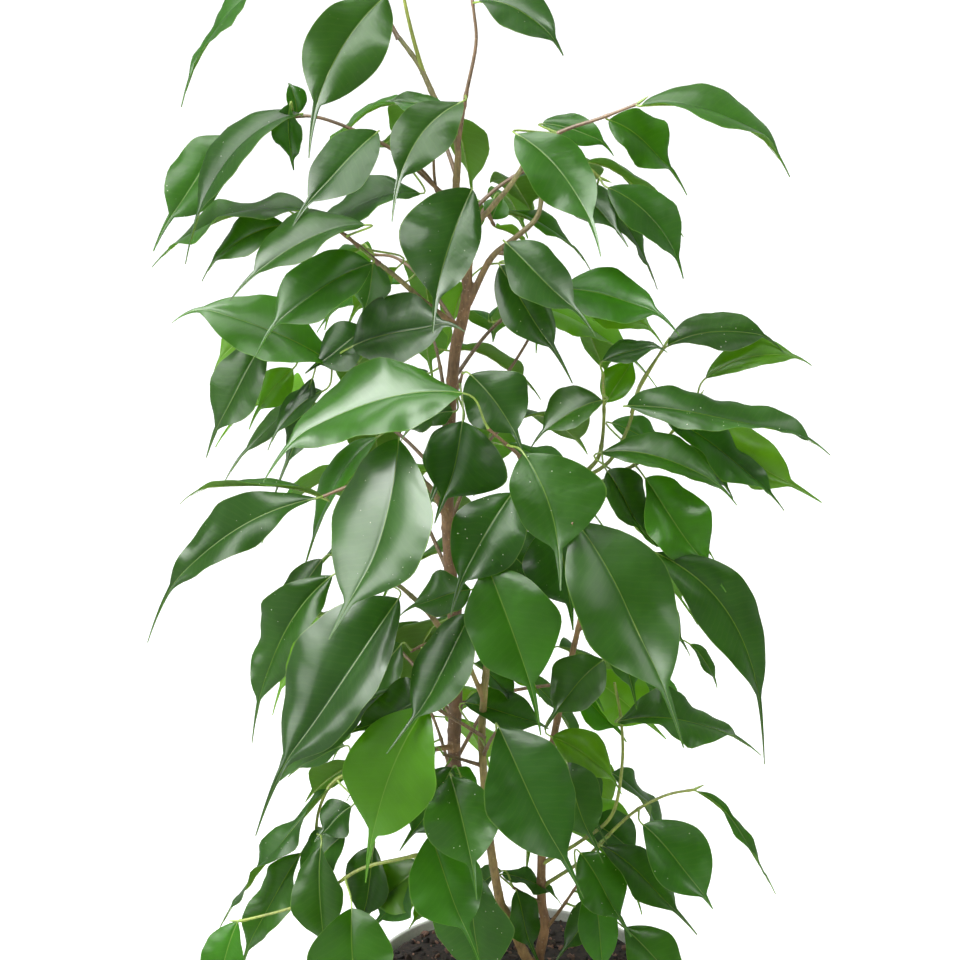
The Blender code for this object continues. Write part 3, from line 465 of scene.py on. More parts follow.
def makeSoil():
    look = soilShape
    step = (look["edge"] - look["middle"]) / (look["rings"] - 1)
    profile = [(look["middle"] + step * ring, look["top"]) for ring in range(look["rings"])]
    soil = turnedShape("soilBed", [*profile, *look["sideProfile"]], look["sides"])
    for vertex in soil.data.vertices:
        if vertex.co.z > (look["top"] - 0.1) * mm:
            vertex.co.z = soilHeight(vertex.co.x, vertex.co.y)
    soil.data.materials.clear()
    soil.data.materials.append(speckledMaterial("moistPeat", look))
    selectOnly(soil)
    bpy.ops.object.shade_smooth_by_angle(angle=math.radians(60.0))
    dress(soil, "soil")

    deselectAll()
    bpy.ops.mesh.primitive_cube_add(size=1.6)
    lump = bpy.context.object
    bpy.ops.object.mode_set(mode="EDIT")
    bpy.ops.mesh.select_all(action="SELECT")
    bpy.ops.mesh.subdivide(number_cuts=1, smoothness=1.0)
    bpy.ops.object.mode_set(mode="OBJECT")
    lump.data.materials.append(barkMaterial("barkCrumb", 0.85, False))
    draw = random.Random(11)
    low, high = look["crumbRadius"]
    dent, cycles = look["crumbDents"]
    copies = []
    for number in range(look["crumbs"]):
        copy = lump.copy()
        copy.data = lump.data.copy()
        bpy.context.scene.collection.objects.link(copy)
        for corner in copy.data.vertices:
            corner.co *= 1.0 + dent * noise.noise(corner.co * cycles + Vector((number * 7.1, 0.0, 0.0)))
        away = look["edge"] * mm * math.sqrt(draw.random())
        angle = draw.uniform(0, math.tau)
        x, y = away * math.cos(angle), away * math.sin(angle)
        size = (low + (high - low) * draw.random() ** 3) * mm
        axis = Vector([draw.uniform(-1, 1) for _ in range(3)])
        turn = Matrix.Rotation(draw.uniform(0, math.tau), 4, axis)
        stretch = Matrix.Diagonal((*[draw.uniform(*bounds) for bounds in look["crumbStretch"]], 1.0))
        place = Matrix.Translation((x, y, soilHeight(x, y) + look["crumbSeat"] * size))
        copy.data.transform(place @ turn @ stretch @ Matrix.Scale(size, 4))
        setTone(copy, linear(draw.choice(look["crumbColours"])))
        copies.append(copy)
    bpy.data.objects.remove(lump)
    selectOnly(*copies)
    bpy.ops.object.join()
    crumbs = copies[0]
    crumbs.name = "soilCrumbs"
    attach(crumbs, "root")
    print("soil made:", look["crumbs"], "crumbs")


def setTone(piece, colours):
    # colours is one colour for all of the piece, or one for each corner
    count = len(piece.data.vertices)
    values = colours if isinstance(colours, list) else [colours] * count
    layer = piece.data.attributes.new("tone", "FLOAT_COLOR", "POINT")
    layer.data.foreach_set("color", np.array(values, dtype=np.float32).ravel())


# Stems as in the CAD: foot (x, y), then runs of (across, height, forward) points, first radius, last radius
stems = {
    "stem_back": {
        "foot": (-20, 38),
        "runs": (
            (((-23, 198, -36), (-30, 241, -32), (-34, 286, -27), (-33, 318, -24), (-33, 352, -20),
              (-36, 398, -16), (-37, 431, -13), (-36, 469, -10), (-33, 509, -6), (-29, 528, -3),
              (-26, 543, 0)), 4.4, 3.0),
            (((-26, 541, 0), (-29, 562, 2), (-32, 592, 4), (-31, 615, 5), (-35, 626, 5), (-43, 642, 4),
              (-50, 657, 3), (-60, 671, 1)), 2.4, 1.2),
            (((-26, 540, 0), (-24, 572, 6), (-15, 585, 12), (-5, 597, 18), (6, 614, 24)), 1.9, 1.2),
            (((-26, 536, 0), (-15, 559, 4), (-4, 569, 6), (8, 580, 6), (11, 592, 4), (12, 606, 2)),
             1.9, 1.1),
            (((-30, 523, -3), (-48, 537, 8), (-61, 549, 18), (-72, 558, 24)), 1.7, 1.2),
            (((-34, 483, -8), (-51, 490, -6), (-69, 497, -2), (-82, 502, 0)), 1.7, 1.2),
            (((-36, 417, -14), (-47, 439, 5), (-62, 443, 18), (-80, 441, 22)), 1.8, 1.2),
            (((-33, 344, -20), (-45, 365, 8), (-60, 381, 30), (-66, 385, 38)), 1.8, 1.2),
            (((-33, 291, -26), (-55, 287, -10), (-77, 281, 2)), 1.7, 1.2),
            (((-36, 381, -17), (-15, 398, -10), (14, 424, -4), (37, 447, 0)), 1.8, 1.2),
        ),
        # the back stem's shades are darker than the front stem's: painted shade, for the stem that stands
        # further back in the foliage
        "barkColours": ("#573d24", "#886642", "#7b7a44"),   # low trunk, high trunk, youngest branches
    },
    "stem_front": {
        "foot": (12, -2),
        "runs": (
            (((12, 158, 1), (16, 183, 4), (14, 198, 5), (14, 232, 8), (16, 265, 12), (20, 297, 15),
              (26, 329, 16), (32, 358, 15), (37, 384, 12), (42, 406, 8)), 3.4, 1.3),
            (((12, 153, 2), (5, 164, 8), (-5, 189, 14), (-9, 198, 16), (-14, 229, 22), (-17, 259, 26),
              (-19, 294, 30), (-18, 318, 33), (-15, 350, 36), (-8, 381, 40), (-3, 414, 42), (0, 445, 42)),
             2.8, 1.4),
            (((-18, 318, 33), (-25, 336, 36), (-30, 348, 38)), 1.5, 1.1),
        ),
        "barkColours": ("#876540", "#99784b", "#8d8a48"),
    },
}
stemShape = {
    "depths": (80.5, 150.0),     # each foot stands upright between these heights
    "sample": 1.0,
    "scarSpacing": (16.0, 27.0),
    "scarRise": 0.13,            # of the radius
    "scarHalf": 1.1,
    "flare": 0.45,
    "flareHeight": 9.0,
    "uneven": (0.06, 70),        # of the radius, noise cycles a metre
    "old": (0.15, 0.4),          # metres up to which the bark is darkest, and over which it lightens: partly older bark low down, and on the back stem partly painted shade deep in the foliage
    "voxel": 0.55,
    "smoothing": 4,
}


def seen(across, height, forward):
    flat = Vector((across, 0.0, height)) * mm
    eye = Vector(studio["eye"])
    return flat + (eye - flat) * (forward * mm / -eye.y)


def smooth(points, steps):
    ends = [2 * points[0] - points[1], *points, 2 * points[-1] - points[-2]]
    curve = []
    for a, b, c, d in zip(ends, ends[1:], ends[2:], ends[3:]):
        for step in range(steps):
            t = step / steps
            square = (2 * a - 5 * b + 4 * c - d) * t * t
            cube = (3 * b - a - 3 * c + d) * t ** 3
            curve.append((2 * b + (c - a) * t + square + cube) / 2)
    return [*curve, points[-1]]


def evenly(points, step):
    # the same line with its points that far apart, and each one's distance from the start
    lengths = [0.0]
    for a, b in zip(points, points[1:]):
        lengths.append(lengths[-1] + (b - a).length)
    count = max(2, round(lengths[-1] / step))
    line, marks, part = [], [], 0
    for number in range(count + 1):
        mark = lengths[-1] * number / count
        while part < len(points) - 2 and lengths[part + 1] < mark:
            part += 1
        share = (mark - lengths[part]) / max(1e-9, lengths[part + 1] - lengths[part])
        line.append(points[part].lerp(points[part + 1], share))
        marks.append(mark)
    return line, marks


def stemRoute(name, number):
    points = [seen(*point) for point in stems[name]["runs"][number][0]]
    if number:
        return points
    x, y = stems[name]["foot"]
    return [Vector((x, y, height)) * mm for height in stemShape["depths"]] + points


def trunkLine(steps):
    return smooth(stemRoute("stem_back", 0)[1:], steps) + smooth(stemRoute("stem_back", 1), steps)


def mergeDoubles(obj):
    selectOnly(obj)
    bpy.ops.object.mode_set(mode="EDIT")
    bpy.ops.mesh.select_all(action="SELECT")
    bpy.ops.mesh.remove_doubles(threshold=0.001 * mm)
    bpy.ops.mesh.normals_make_consistent(inside=False)
    bpy.ops.object.mode_set(mode="OBJECT")


def makeTubes(name, lines, bevelSteps):
    # round tubes along lines, each given as its points and the radius at each
    deselectAll()
    bpy.ops.curve.primitive_nurbs_path_add()
    tubes = bpy.context.object
    tubes.name = name
    curve = tubes.data
    curve.splines.clear()
    for points, radii in lines:
        spline = curve.splines.new("POLY")
        spline.points.add(len(points) - 1)
        for spot, point, radius in zip(spline.points, points, radii):
            spot.co = (*point, 1.0)
            spot.radius = radius
    curve.bevel_depth = 1.0
    curve.bevel_resolution = bevelSteps
    curve.use_fill_caps = True
    bpy.ops.object.convert(target="MESH")
    mergeDoubles(tubes)
    return tubes


def makeStem(name, material):
    look, draw = stemShape, random.Random(len(name))
    lines, guide = [], []
    for number, (_, first, last) in enumerate(stems[name]["runs"]):
        line, marks = evenly(smooth(stemRoute(name, number), 8), look["sample"] * mm)
        scars, at = [], draw.uniform(*look["scarSpacing"]) * mm
        while at < marks[-1]:
            scars.append(at)
            at += draw.uniform(*look["scarSpacing"]) * mm
        radii = []
        for point, mark in zip(line, marks):
            share = mark / marks[-1]
            radius = first + (last - first) * share
            near = min([abs(mark - scar) for scar in scars], default=1.0) / (look["scarHalf"] * mm)
            radius *= 1 + look["scarRise"] * math.exp(-near * near)
            depth, cycles = look["uneven"]
            radius *= 1 + depth * noise.noise(point * cycles + Vector((number * 5.0, 0, 0)))
            if number == 0 or name == "stem_front" and number == 1:
                above = abs(point.z / mm - soilShape["top"])
                radius *= 1 + look["flare"] * math.exp(-above / look["flareHeight"])
            radii.append(radius * mm)
            low, over = look["old"]
            guide.append((point, 1.0 + share if number else min(1.0, max(0.0, (point.z - low) / over))))
        lines.append((line, radii))
    stem = makeTubes(name + "_bark", lines, 6)
    applyModifier(stem, "REMESH", mode="VOXEL", voxel_size=look["voxel"] * mm)
    applyModifier(stem, "SMOOTH", factor=0.5, iterations=look["smoothing"])
    selectOnly(stem)
    bpy.ops.object.shade_smooth()
    tree = KDTree(len(guide))
    for index, (point, _) in enumerate(guide):
        tree.insert(point, index)
    tree.balance()
    # the back stem's shades, darker than the front stem's, carry painted shade for the stem further back
    shades = [Vector(linear(colour)[:3]) for colour in stems[name]["barkColours"]]
    colours = []
    for vertex in stem.data.vertices:
        age = guide[tree.find(vertex.co)[1]][1]
        younger = age > 1.0
        colours.append((*shades[younger].lerp(shades[younger + 1], age - younger), 1.0))
    setTone(stem, colours)
    stem.data.materials.clear()
    stem.data.materials.append(material)
    dress(stem, name)
    print(name, "made:", len(stem.data.polygons), "faces")


# Leaves: blade form as in the CAD (widest half, fold, twist and wave), with the fine form that it leaves out
bladeShape = {
    "narrowest": 0.5,
    "bend": 0.10,
    "fold": 14.0,
    "twist": 14.0,
    "twistCentre": 0.4,
    "wave": 1.0,
    "waves": 9.0,
    "waveLag": 2.0,
    "bellyEnd": 0.88,
    "bellyLean": 0.9,
    "bellyFullness": 0.75,
    "drip": 0.13,
    "dripFade": 0.2,
    "cadThick": 0.7,
    "cadRows": ((72, 0.68), (40, 0.46), (0, 0.66)),   # longer than, one row of corners of the CAD's blade
}
bladeDetail = {
    "bow": (0.55, 0.65),    # how much of the CAD's bend shows, seen full on and seen from its side
    "sideOn": 35,           # a blade whose face turns up that far is seen from its side
    "belly": (1.25, 0.62, 0.85),   # its lean to the tip, and how slowly it fills from the stalk and the tip
    "drip": (0.04, 0.8, 0.075, 0.3),   # how far before the belly's end, half width, more by the blade's, end
    "slimmest": 0.25,
    "foldShare": 0.95,      # how much of the CAD's fold shows
    "later": 0.055,         # how much later the belly ends in a blade seen from its side
    "thick": 0.42,
    "groove": 0.2,
    "grooveHalf": 0.7,
    "ribHalf": 0.38,
    "veinSpacing": 3.8,
    "veinSlant": 0.5,
    "tipFrom": 0.74,        # from where the tip hooks down
    "recurve": (0.13, 0.0),    # how far the tip curls out, of the length, full on and from its side
    "recurveFrom": 0.5,
    "wax": (0.1, 0.8),      # how much clear coat the cuticle has, on the blade and on its tip
    "waxFrom": (0.6, 0.2),  # from where it thickens, and over what share of the length
    "spare": 0.3,           # how far each blade stays inside the CAD's box
    "crowd": (0.09, 1.5),   # how much closer the rows lie at both ends, and the columns at the midrib
    "scallops": (2.6, 1.9),
    "foldAlong": (0.7, 4.8, 0.45),   # the fold's least share, more by the square of the way from its middle
    "edgePower": 1.7,
    "fineRipple": (0.15, 6.3),       # of the ripple, and how many to the blade
    "thinEdge": 0.3,
    "ribTaper": (1.1, 0.85),
    "dusty": (-0.6, 1.0),   # how speckled a leaf is; below nothing it has none
    "shade": (0.86, 1.14),
    "warmth": (-0.07, 0.07),
    "wider": 1.04,
}
# What differs from leaf to leaf, between these bounds: lengths for a blade of 100 mm
bladeNature = {
    "hook": (4.0, 15.0),
    "sickle": (-6.0, 6.0),
    "ripple": (1.5, 5.5),
    "rippleCount": (1.0, 2.3),
    "scallop": (0.01, 0.05),
    "bulge": (0.15, 0.5),
    "curl": (-32.0, 32.0),
    "swivel": (-13.0, 13.0),
    "lopsided": (-0.09, 0.09),
    "bellyEnd": (0.73, 0.83),
    "early": (0.2, 0.9),
}
bladeSizes = {"large": (72, (44, 18)), "middle": (40, (34, 14)), "small": (0, (24, 12))}


@dataclass(frozen=True)
class Leaf:
    root: Vector
    base: Vector
    tip: Vector
    face: Vector
    push: Vector
    width: float
    bend: float
    fold: float
    twist: float
    wave: float
    tone: str
    shape: dict


def unitAcross(vector, along):
    return (vector - along * vector.dot(along)).normalized()


def outline(share):
    look = bladeShape
    belly = np.sin(math.pi * np.minimum(1.0, share / look["bellyEnd"]) ** look["bellyLean"])
    drip = np.minimum(look["drip"], look["drip"] * (1.0 - share) / look["dripFade"])
    return np.maximum(np.maximum(0.0, belly) ** look["bellyFullness"], drip)


def bladeFrame(leaf, share, early=0.0):
    # early brings the bend towards the stalk; the CAD has it in the blade's middle
    chord = leaf.tip - leaf.base
    length = chord.length
    face = unitAcross(leaf.face, chord / length)
    rise = 4 * leaf.bend * length
    part = share + early * share * (1 - share)
    point = leaf.base + chord * share + face * (rise * part * (1 - part))
    along = (chord + face * (rise * (1 - 2 * part) * (1 + early * (1 - 2 * share)))).normalized()
    up = unitAcross(face, along)
    up.rotate(Matrix.Rotation(leaf.twist * (share - bladeShape["twistCentre"]), 3, along))
    return point, along, along.cross(up), up


def cadCorners(leaf):
    # the corners of the CAD's blade at its tip and at one row before it
    look = bladeShape
    length = (leaf.tip - leaf.base).length
    middle = next(share for least, share in look["cadRows"] if length > least * mm)
    corners = []
    for share in (middle, 1.0):
        point, _, across, up = bladeFrame(leaf, share)
        full = float(outline(share))
        half = max(look["narrowest"] * mm, leaf.width / 2 * full)
        for side in (-1, 1):
            sway = leaf.wave * math.sin(look["waves"] * share + look["waveLag"] * side) * full
            edge = point + across * (side * half * math.cos(leaf.fold))
            edge += up * (half * math.sin(leaf.fold) + sway)
            corners += [edge + up * (look["cadThick"] / 2 * mm), edge - up * (look["cadThick"] / 2 * mm)]
    return corners


# The moves by which the CAD keeps a leaf clear of the others: millimetres of lift and swing, degrees of turn
leafMoves = sorted(
    ((lift, swing, turn) for lift in (0, 4, -4, 8, -8, 13, -13)
     for swing in (0, 5, -5, 10, -10, 16, -16, 23, -23, 32, -32) for turn in (0, 10, -10, 22, -22, 36, -36)),
    key=lambda move: 1.5 * abs(move[0]) + abs(move[1]) + 0.5 * abs(move[2]),
)


def placedAsInCad(leaf, corners):
    # the leaf moved as the CAD moved it, told by where its node has corners
    best = None
    for lift, swing, turn in leafMoves:
        face = leaf.face.copy()
        face.rotate(Matrix.Rotation(math.radians(turn), 3, (leaf.tip - leaf.base).normalized()))
        trial = replace(leaf, base=leaf.base + leaf.push * (lift * mm), face=face,
                        tip=leaf.tip + leaf.push * ((lift + swing) * mm))
        miss = sum(corners.find(corner)[2] for corner in cadCorners(trial))
        if best is None or miss < best[0]:
            best = (miss, trial)
        if miss < 0.2 * mm:
            break
    return best


def nearestOn(route, point):
    best = None
    for number, (a, b) in enumerate(zip(route, route[1:])):
        for step in range(8):
            share = (number + step / 8) / (len(route) - 1)
            if 0.3 <= share <= 0.98:
                spot = a.lerp(b, step / 8)
                if best is None or (spot - point).length < (best - point).length:
                    best = spot
    return best


def varied(draw):
    return {
        "fold": math.radians(bladeShape["fold"] * draw.uniform(0.5, 1.3)),
        "twist": math.radians(draw.uniform(-bladeShape["twist"], bladeShape["twist"])),
        "wave": draw.uniform(-bladeShape["wave"], bladeShape["wave"]) * mm,
    }


def nearLeaf(route, row, draw):
    (start, end, (near, far), width, turn, tone), rest = row[:6], list(row[6:])
    sideOn = turn >= bladeDetail["sideOn"]
    shape = {"bow": bladeDetail["bow"][sideOn], "later": bladeDetail["later"] * sideOn,
             "recurve": bladeDetail["recurve"][sideOn]}
    if rest and isinstance(rest[-1], dict):
        shape.update(rest.pop())
    base, tip = seen(*start, near), seen(*end, far)
    along = (tip - base).normalized()
    sight = Vector(studio["eye"]) - base
    look = unitAcross(sight, along)
    rise = along.cross(look)
    if rise.z < -0.15 or (abs(rise.z) <= 0.15 and rise.x * base.x < 0):
        rise.negate()
    angle = math.radians(turn)
    face = look * math.cos(angle) + rise * math.sin(angle)
    return Leaf(root=nearestOn(route, base), base=base, tip=tip, face=face, push=sight.normalized(),
                width=width * mm, bend=rest[0] if rest else bladeShape["bend"], tone=tone, shape=shape,
                **varied(draw))


# Sprays of the far side, by the CAD's own rule: the twigs rise outward, and the leaves hang from both sides
farSprays = {
    "count": 15,
    "lowest": 212,
    "step": 28,
    "heading": (90, 140),
    "golden": 0.618,
    "reach": 94,
    "fullest": 4,
    "taper": 3.4,
    "arch": ((0, 0), (0.35, 0.28), (0.7, 0.42), (1, 0.40)),
    "leaves": ((0.42, 50), (0.62, -55), (0.82, 45), (1.0, -10)),
    "length": (58, 82),
    "droop": (28, 62),
    "slimness": (0.42, 0.5),
    "bend": (0.08, 0.16),
    "smallFrom": 11,
    "small": 0.85,
    "tones": ("deep", "deep", "mid", "mid", "olive", "bright"),
}


def farSpray(number, trunk, draw, toneDraw):
    look = farSprays
    height = (look["lowest"] + number * look["step"]) * mm
    start = min(trunk, key=lambda point: abs(point.z - height))
    middle, spread = look["heading"]
    heading = math.radians(middle + spread * ((number * look["golden"]) % 1.0 - 0.5))
    out = Vector((math.cos(heading), math.sin(heading), 0.0))
    length = (look["reach"] - look["taper"] * abs(number - look["fullest"])) * mm
    route = [start + out * (length * far) + upward * (length * high) for far, high in look["arch"]]
    leaves = []
    for share, side in look["leaves"]:
        root = nearestOn(route, route[0].lerp(route[-1], share))
        way = Matrix.Rotation(math.radians(side * draw.uniform(0.8, 1.2)), 3, "Z") @ out
        size = draw.uniform(*look["length"]) * mm * (1.0 if number < look["smallFrom"] else look["small"])
        droop = math.radians(draw.uniform(*look["droop"]))
        base = root + way * (draw.uniform(10, 14) * mm) + upward * (draw.uniform(0, 4) * mm)
        tip = base + way * (size * math.cos(droop)) - upward * (size * math.sin(droop))
        leaves.append(Leaf(root=root, base=base, tip=tip, face=upward * 0.8 + way * 0.6, push=upward,
                           width=size * draw.uniform(*look["slimness"]), bend=draw.uniform(*look["bend"]),
                           tone=toneDraw.choice(look["tones"]), shape={"bow": 0.9, "recurve": 0.05},
                           **varied(draw)))
    return route, leaves


def planSprays():
    draw, toneDraw = random.Random(7), random.Random(3)
    plans = {}
    for name, (twig, *rows) in sprays.items():
        route = [seen(*point) for point in twig]
        plans[name] = (route, [nearLeaf(route, row, draw) for row in rows])
    trunk = trunkLine(8)
    for number in range(farSprays["count"]):
        plans[f"spray_far_{number + 1:02d}"] = farSpray(number, trunk, draw, toneDraw)
    return plans


def makeBlades(materials):
    # one flat thin blade for each class of size, with its under side as the second material
    blades = {}
    for name, (_, (rows, columns)) in bladeSizes.items():
        deselectAll()
        bpy.ops.mesh.primitive_grid_add(x_subdivisions=columns, y_subdivisions=rows, size=2.0)
        blade = bpy.context.object
        blade.name = "blade_" + name
        for material in materials:
            blade.data.materials.append(material)
        applyModifier(blade, "SOLIDIFY", thickness=0.02, offset=0.0, material_offset=1)
        selectOnly(blade)
        bpy.ops.object.shade_smooth_by_angle(angle=math.radians(40.0))
        blades[name] = blade
    return blades


def midLine(leaf, nature, share):
    # the blade's frame at that share, with the sideways bow and the hooked tip that this leaf has
    point, along, across, up = bladeFrame(leaf, share, nature["early"])
    size = (leaf.tip - leaf.base).length / 100
    tipShare = max(0.0, (share - bladeDetail["tipFrom"]) / (1 - bladeDetail["tipFrom"]))
    point = point + across * (nature["sickle"] * size * 4 * share * (1 - share))
    point = point - upward * (nature["hook"] * size * tipShare * tipShare)
    start = nature.get("recurveFrom", bladeDetail["recurveFrom"])
    curlShare = max(0.0, (share - start) / (1 - start))
    point = point + up * (nature["recurve"] * size * 100 * curlShare * curlShare)
    turn = Matrix.Rotation(math.radians(nature["curl"]) * (share - 0.3), 3, along)
    return point, along, turn @ across, turn @ up


def fineOutline(share, bellyEnd):
    lean, first, last = bladeDetail["belly"]
    widest = first / (first + last)
    part = np.minimum(1.0, share / bellyEnd) ** lean
    return (part / widest) ** first * ((1 - part) / (1 - widest)) ** last


def dripTip(share, width, bellyEnd):
    # half the width of the drip tip, which runs out of the belly's end
    before, least, more, end = bladeDetail["drip"]
    start = bellyEnd - before
    wide = least * mm + more * width / 2
    fade = np.clip((1 - share) / (1 - start), 0.0, 1.0)
    return (end * mm + (wide - end * mm) * fade) * np.clip(share / start, 0.0, 1.0) ** 6


def backInside(corners):
    # how far a blade that leaves the CAD's box has to swing back, along each axis
    low, high = (np.array(corner) for corner in cadBox)
    spare = bladeDetail["spare"] * mm
    under, over = low + spare - corners.min(axis=0), corners.max(axis=0) + spare - high
    return np.maximum(0.0, under) - np.maximum(0.0, over)


def bladeCopy(blades, leaf, draw):
    look = bladeDetail
    nature = {name: draw.uniform(*bounds) for name, bounds in bladeNature.items()}
    phases = [draw.uniform(0, math.tau) for _ in range(4)]
    nature.update(leaf.shape)
    nature["bellyEnd"] += nature.get("later", 0.0)
    face = leaf.face.copy()
    chord = leaf.tip - leaf.base
    face.rotate(Matrix.Rotation(math.radians(nature["swivel"]), 3, chord.normalized()))
    leaf = replace(leaf, bend=leaf.bend * nature["bow"], face=face,
                   tip=leaf.base + chord * nature.get("longer", 1.0),
                   width=leaf.width * nature.get("wider", look["wider"]))
    length = (leaf.tip - leaf.base).length
    size = length / 100
    name = next(name for name, (least, _) in bladeSizes.items() if length > least * mm)
    rows = bladeSizes[name][1][0]
    blade = blades[name].copy()
    blade.data = blades[name].data.copy()
    bpy.context.scene.collection.objects.link(blade)
    mesh = blade.data
    flat = np.empty(len(mesh.vertices) * 3, dtype=np.float32)
    mesh.vertices.foreach_get("co", flat)
    flat = flat.reshape(-1, 3).astype(float)
    row = np.rint((flat[:, 1] + 1) / 2 * rows).astype(int)
    even = np.linspace(0.0, 1.0, rows + 1)
    shares = even - look["crowd"][0] * np.sin(math.tau * even)
    frames = [midLine(leaf, nature, share) for share in shares]
    points, ways, acrosses, ups = (np.array([part[index] for part in frames])[row] for index in range(4))
    share = shares[row]
    side = np.sign(flat[:, 0]) * np.abs(flat[:, 0]) ** look["crowd"][1]
    away = np.abs(side)
    full = fineOutline(share, nature["bellyEnd"])
    count, lag = look["scallops"]
    scallop = nature["scallop"] * np.sin(math.tau * count * share + phases[0] + lag * np.sign(side))
    belly = leaf.width / 2 * full * (1 + scallop + nature["lopsided"] * side)
    drip = dripTip(share, leaf.width, nature["bellyEnd"])
    half = np.cbrt(belly ** 3 + drip ** 3 + (look["slimmest"] * mm) ** 3)
    least, more, middle = look["foldAlong"]
    fold = leaf.fold * nature.get("creased", look["foldShare"]) * (least + more * (share - middle) ** 2)
    lift = away * half * np.sin(fold) + half * nature["bulge"] * away * (1 - away)
    lift += leaf.wave * np.sin(bladeShape["waves"] * share + bladeShape["waveLag"] * side) * away * full
    edgePhase = np.where(side > 0, phases[1], phases[2])
    edge = away ** look["edgePower"] * np.sqrt(full)
    fine, count = look["fineRipple"]
    lift += nature["ripple"] * size * np.sin(math.tau * nature["rippleCount"] * share + edgePhase) * edge
    lift += fine * nature["ripple"] * size * np.sin(math.tau * count * share + phases[3] + side) * edge
    groove = np.exp(-(side * half / (look["grooveHalf"] * mm)) ** 2)
    lift -= look["groove"] * mm * groove * np.minimum(1, full * 3)
    lift += np.sign(flat[:, 2]) * look["thick"] / 2 * mm * (1 - look["thinEdge"] * away ** 2)
    corners = points + acrosses * (side * half * np.cos(fold))[:, None] + ups * lift[:, None]
    back = backInside(corners)
    corners += back
    mesh.vertices.foreach_set("co", corners.astype(np.float32).ravel())
    veins = (share * length - look["veinSlant"] * away * half) / (look["veinSpacing"] * mm)
    wide, less = look["ribTaper"]
    ribs = side * half / (look["ribHalf"] * mm * (wide - less * share))
    place = np.stack([side, ribs, veins + draw.random()], axis=1)
    specks = max(0.0, draw.uniform(*look["dusty"])) if leaf.tone in ("deep", "mid") else 0.0
    wax = nature.get("wax", look["wax"][0])
    nearTip = np.clip((share - look["waxFrom"][0]) / look["waxFrom"][1], 0.0, 1.0)
    wax = wax + max(0.0, look["wax"][1] - wax) * nearTip
    for layer, kind, field, values in (("bladePlace", "FLOAT_VECTOR", "vector", place.ravel()),
                                       ("specks", "FLOAT", "value", np.full(len(side), specks)),
                                       ("wax", "FLOAT", "value", wax)):
        data = mesh.attributes.new(layer, kind, "POINT").data
        data.foreach_set(field, values.astype(np.float32))
    shade, warm = draw.uniform(*look["shade"]), draw.uniform(*look["warmth"])
    red, green, blue, _ = linear(tones[leaf.tone])
    setTone(blade, (red * shade * (1 + warm), green * shade, blue * shade * (1 - 2 * warm), 1.0))
    mesh.update()
    ribLine = []
    for share in twigShape["ribShares"]:
        point, _, _, up = midLine(leaf, nature, share)
        ribLine.append((point + Vector(back), up))
    return blade, leaf.base + Vector(back), ribLine


# Twigs, leaf stalks with the ribs that run on under the blades, and the pointed buds at the twigs' ends
twigShape = {
    "radii": (1.15, 0.7),
    "node": 0.30,          # how much a leaf's joint swells, of the radius
    "nodeHalf": 1.6,
    "stalkRadii": (0.62, 0.45),
    "ribRadii": (0.5, 0.12),
    "ribShares": (0.04, 0.1, 0.2, 0.35, 0.5, 0.65, 0.8, 0.92),
    "stalkPull": 0.4,      # how stiffly a stalk leaves the twig and enters the blade
    "stalkSwell": (0.35, 0.12, 12),   # at the twig and at the blade, of its radius, and how fast it fades
    "rootSwell": (0.35, 2.0),
    "bare": (0.55, 0.3),   # a bare twig's radius at its end, and more towards the stem
    "budLength": 7.0,
    "budRadius": 0.8,
    "bud": ((0.0, 0.8), (0.15, 1.0), (0.4, 0.9), (0.7, 0.55), (0.9, 0.25), (1.0, 0.05)),
    "woody": "#7a6040",
    "green": "#8c9a3a",
    "stalk": "#8aa640",
}
greenTwigs = {
    "spray_low_left_front", "spray_right_stem", "spray_right_outer", "spray_right_low", "spray_low_left",
    "spray_right_tip", "spray_top", "spray_low_right_thin", "spray_right_thin",
}
buddedTwigs = {
    "spray_top_left", "spray_top", "spray_upper_left", "spray_upper_right", "spray_left_high",
    "spray_left_mid", "spray_right_outer", "spray_right_low", "spray_low_left_front",
    "spray_low_right_thin", "spray_right_tip",
}

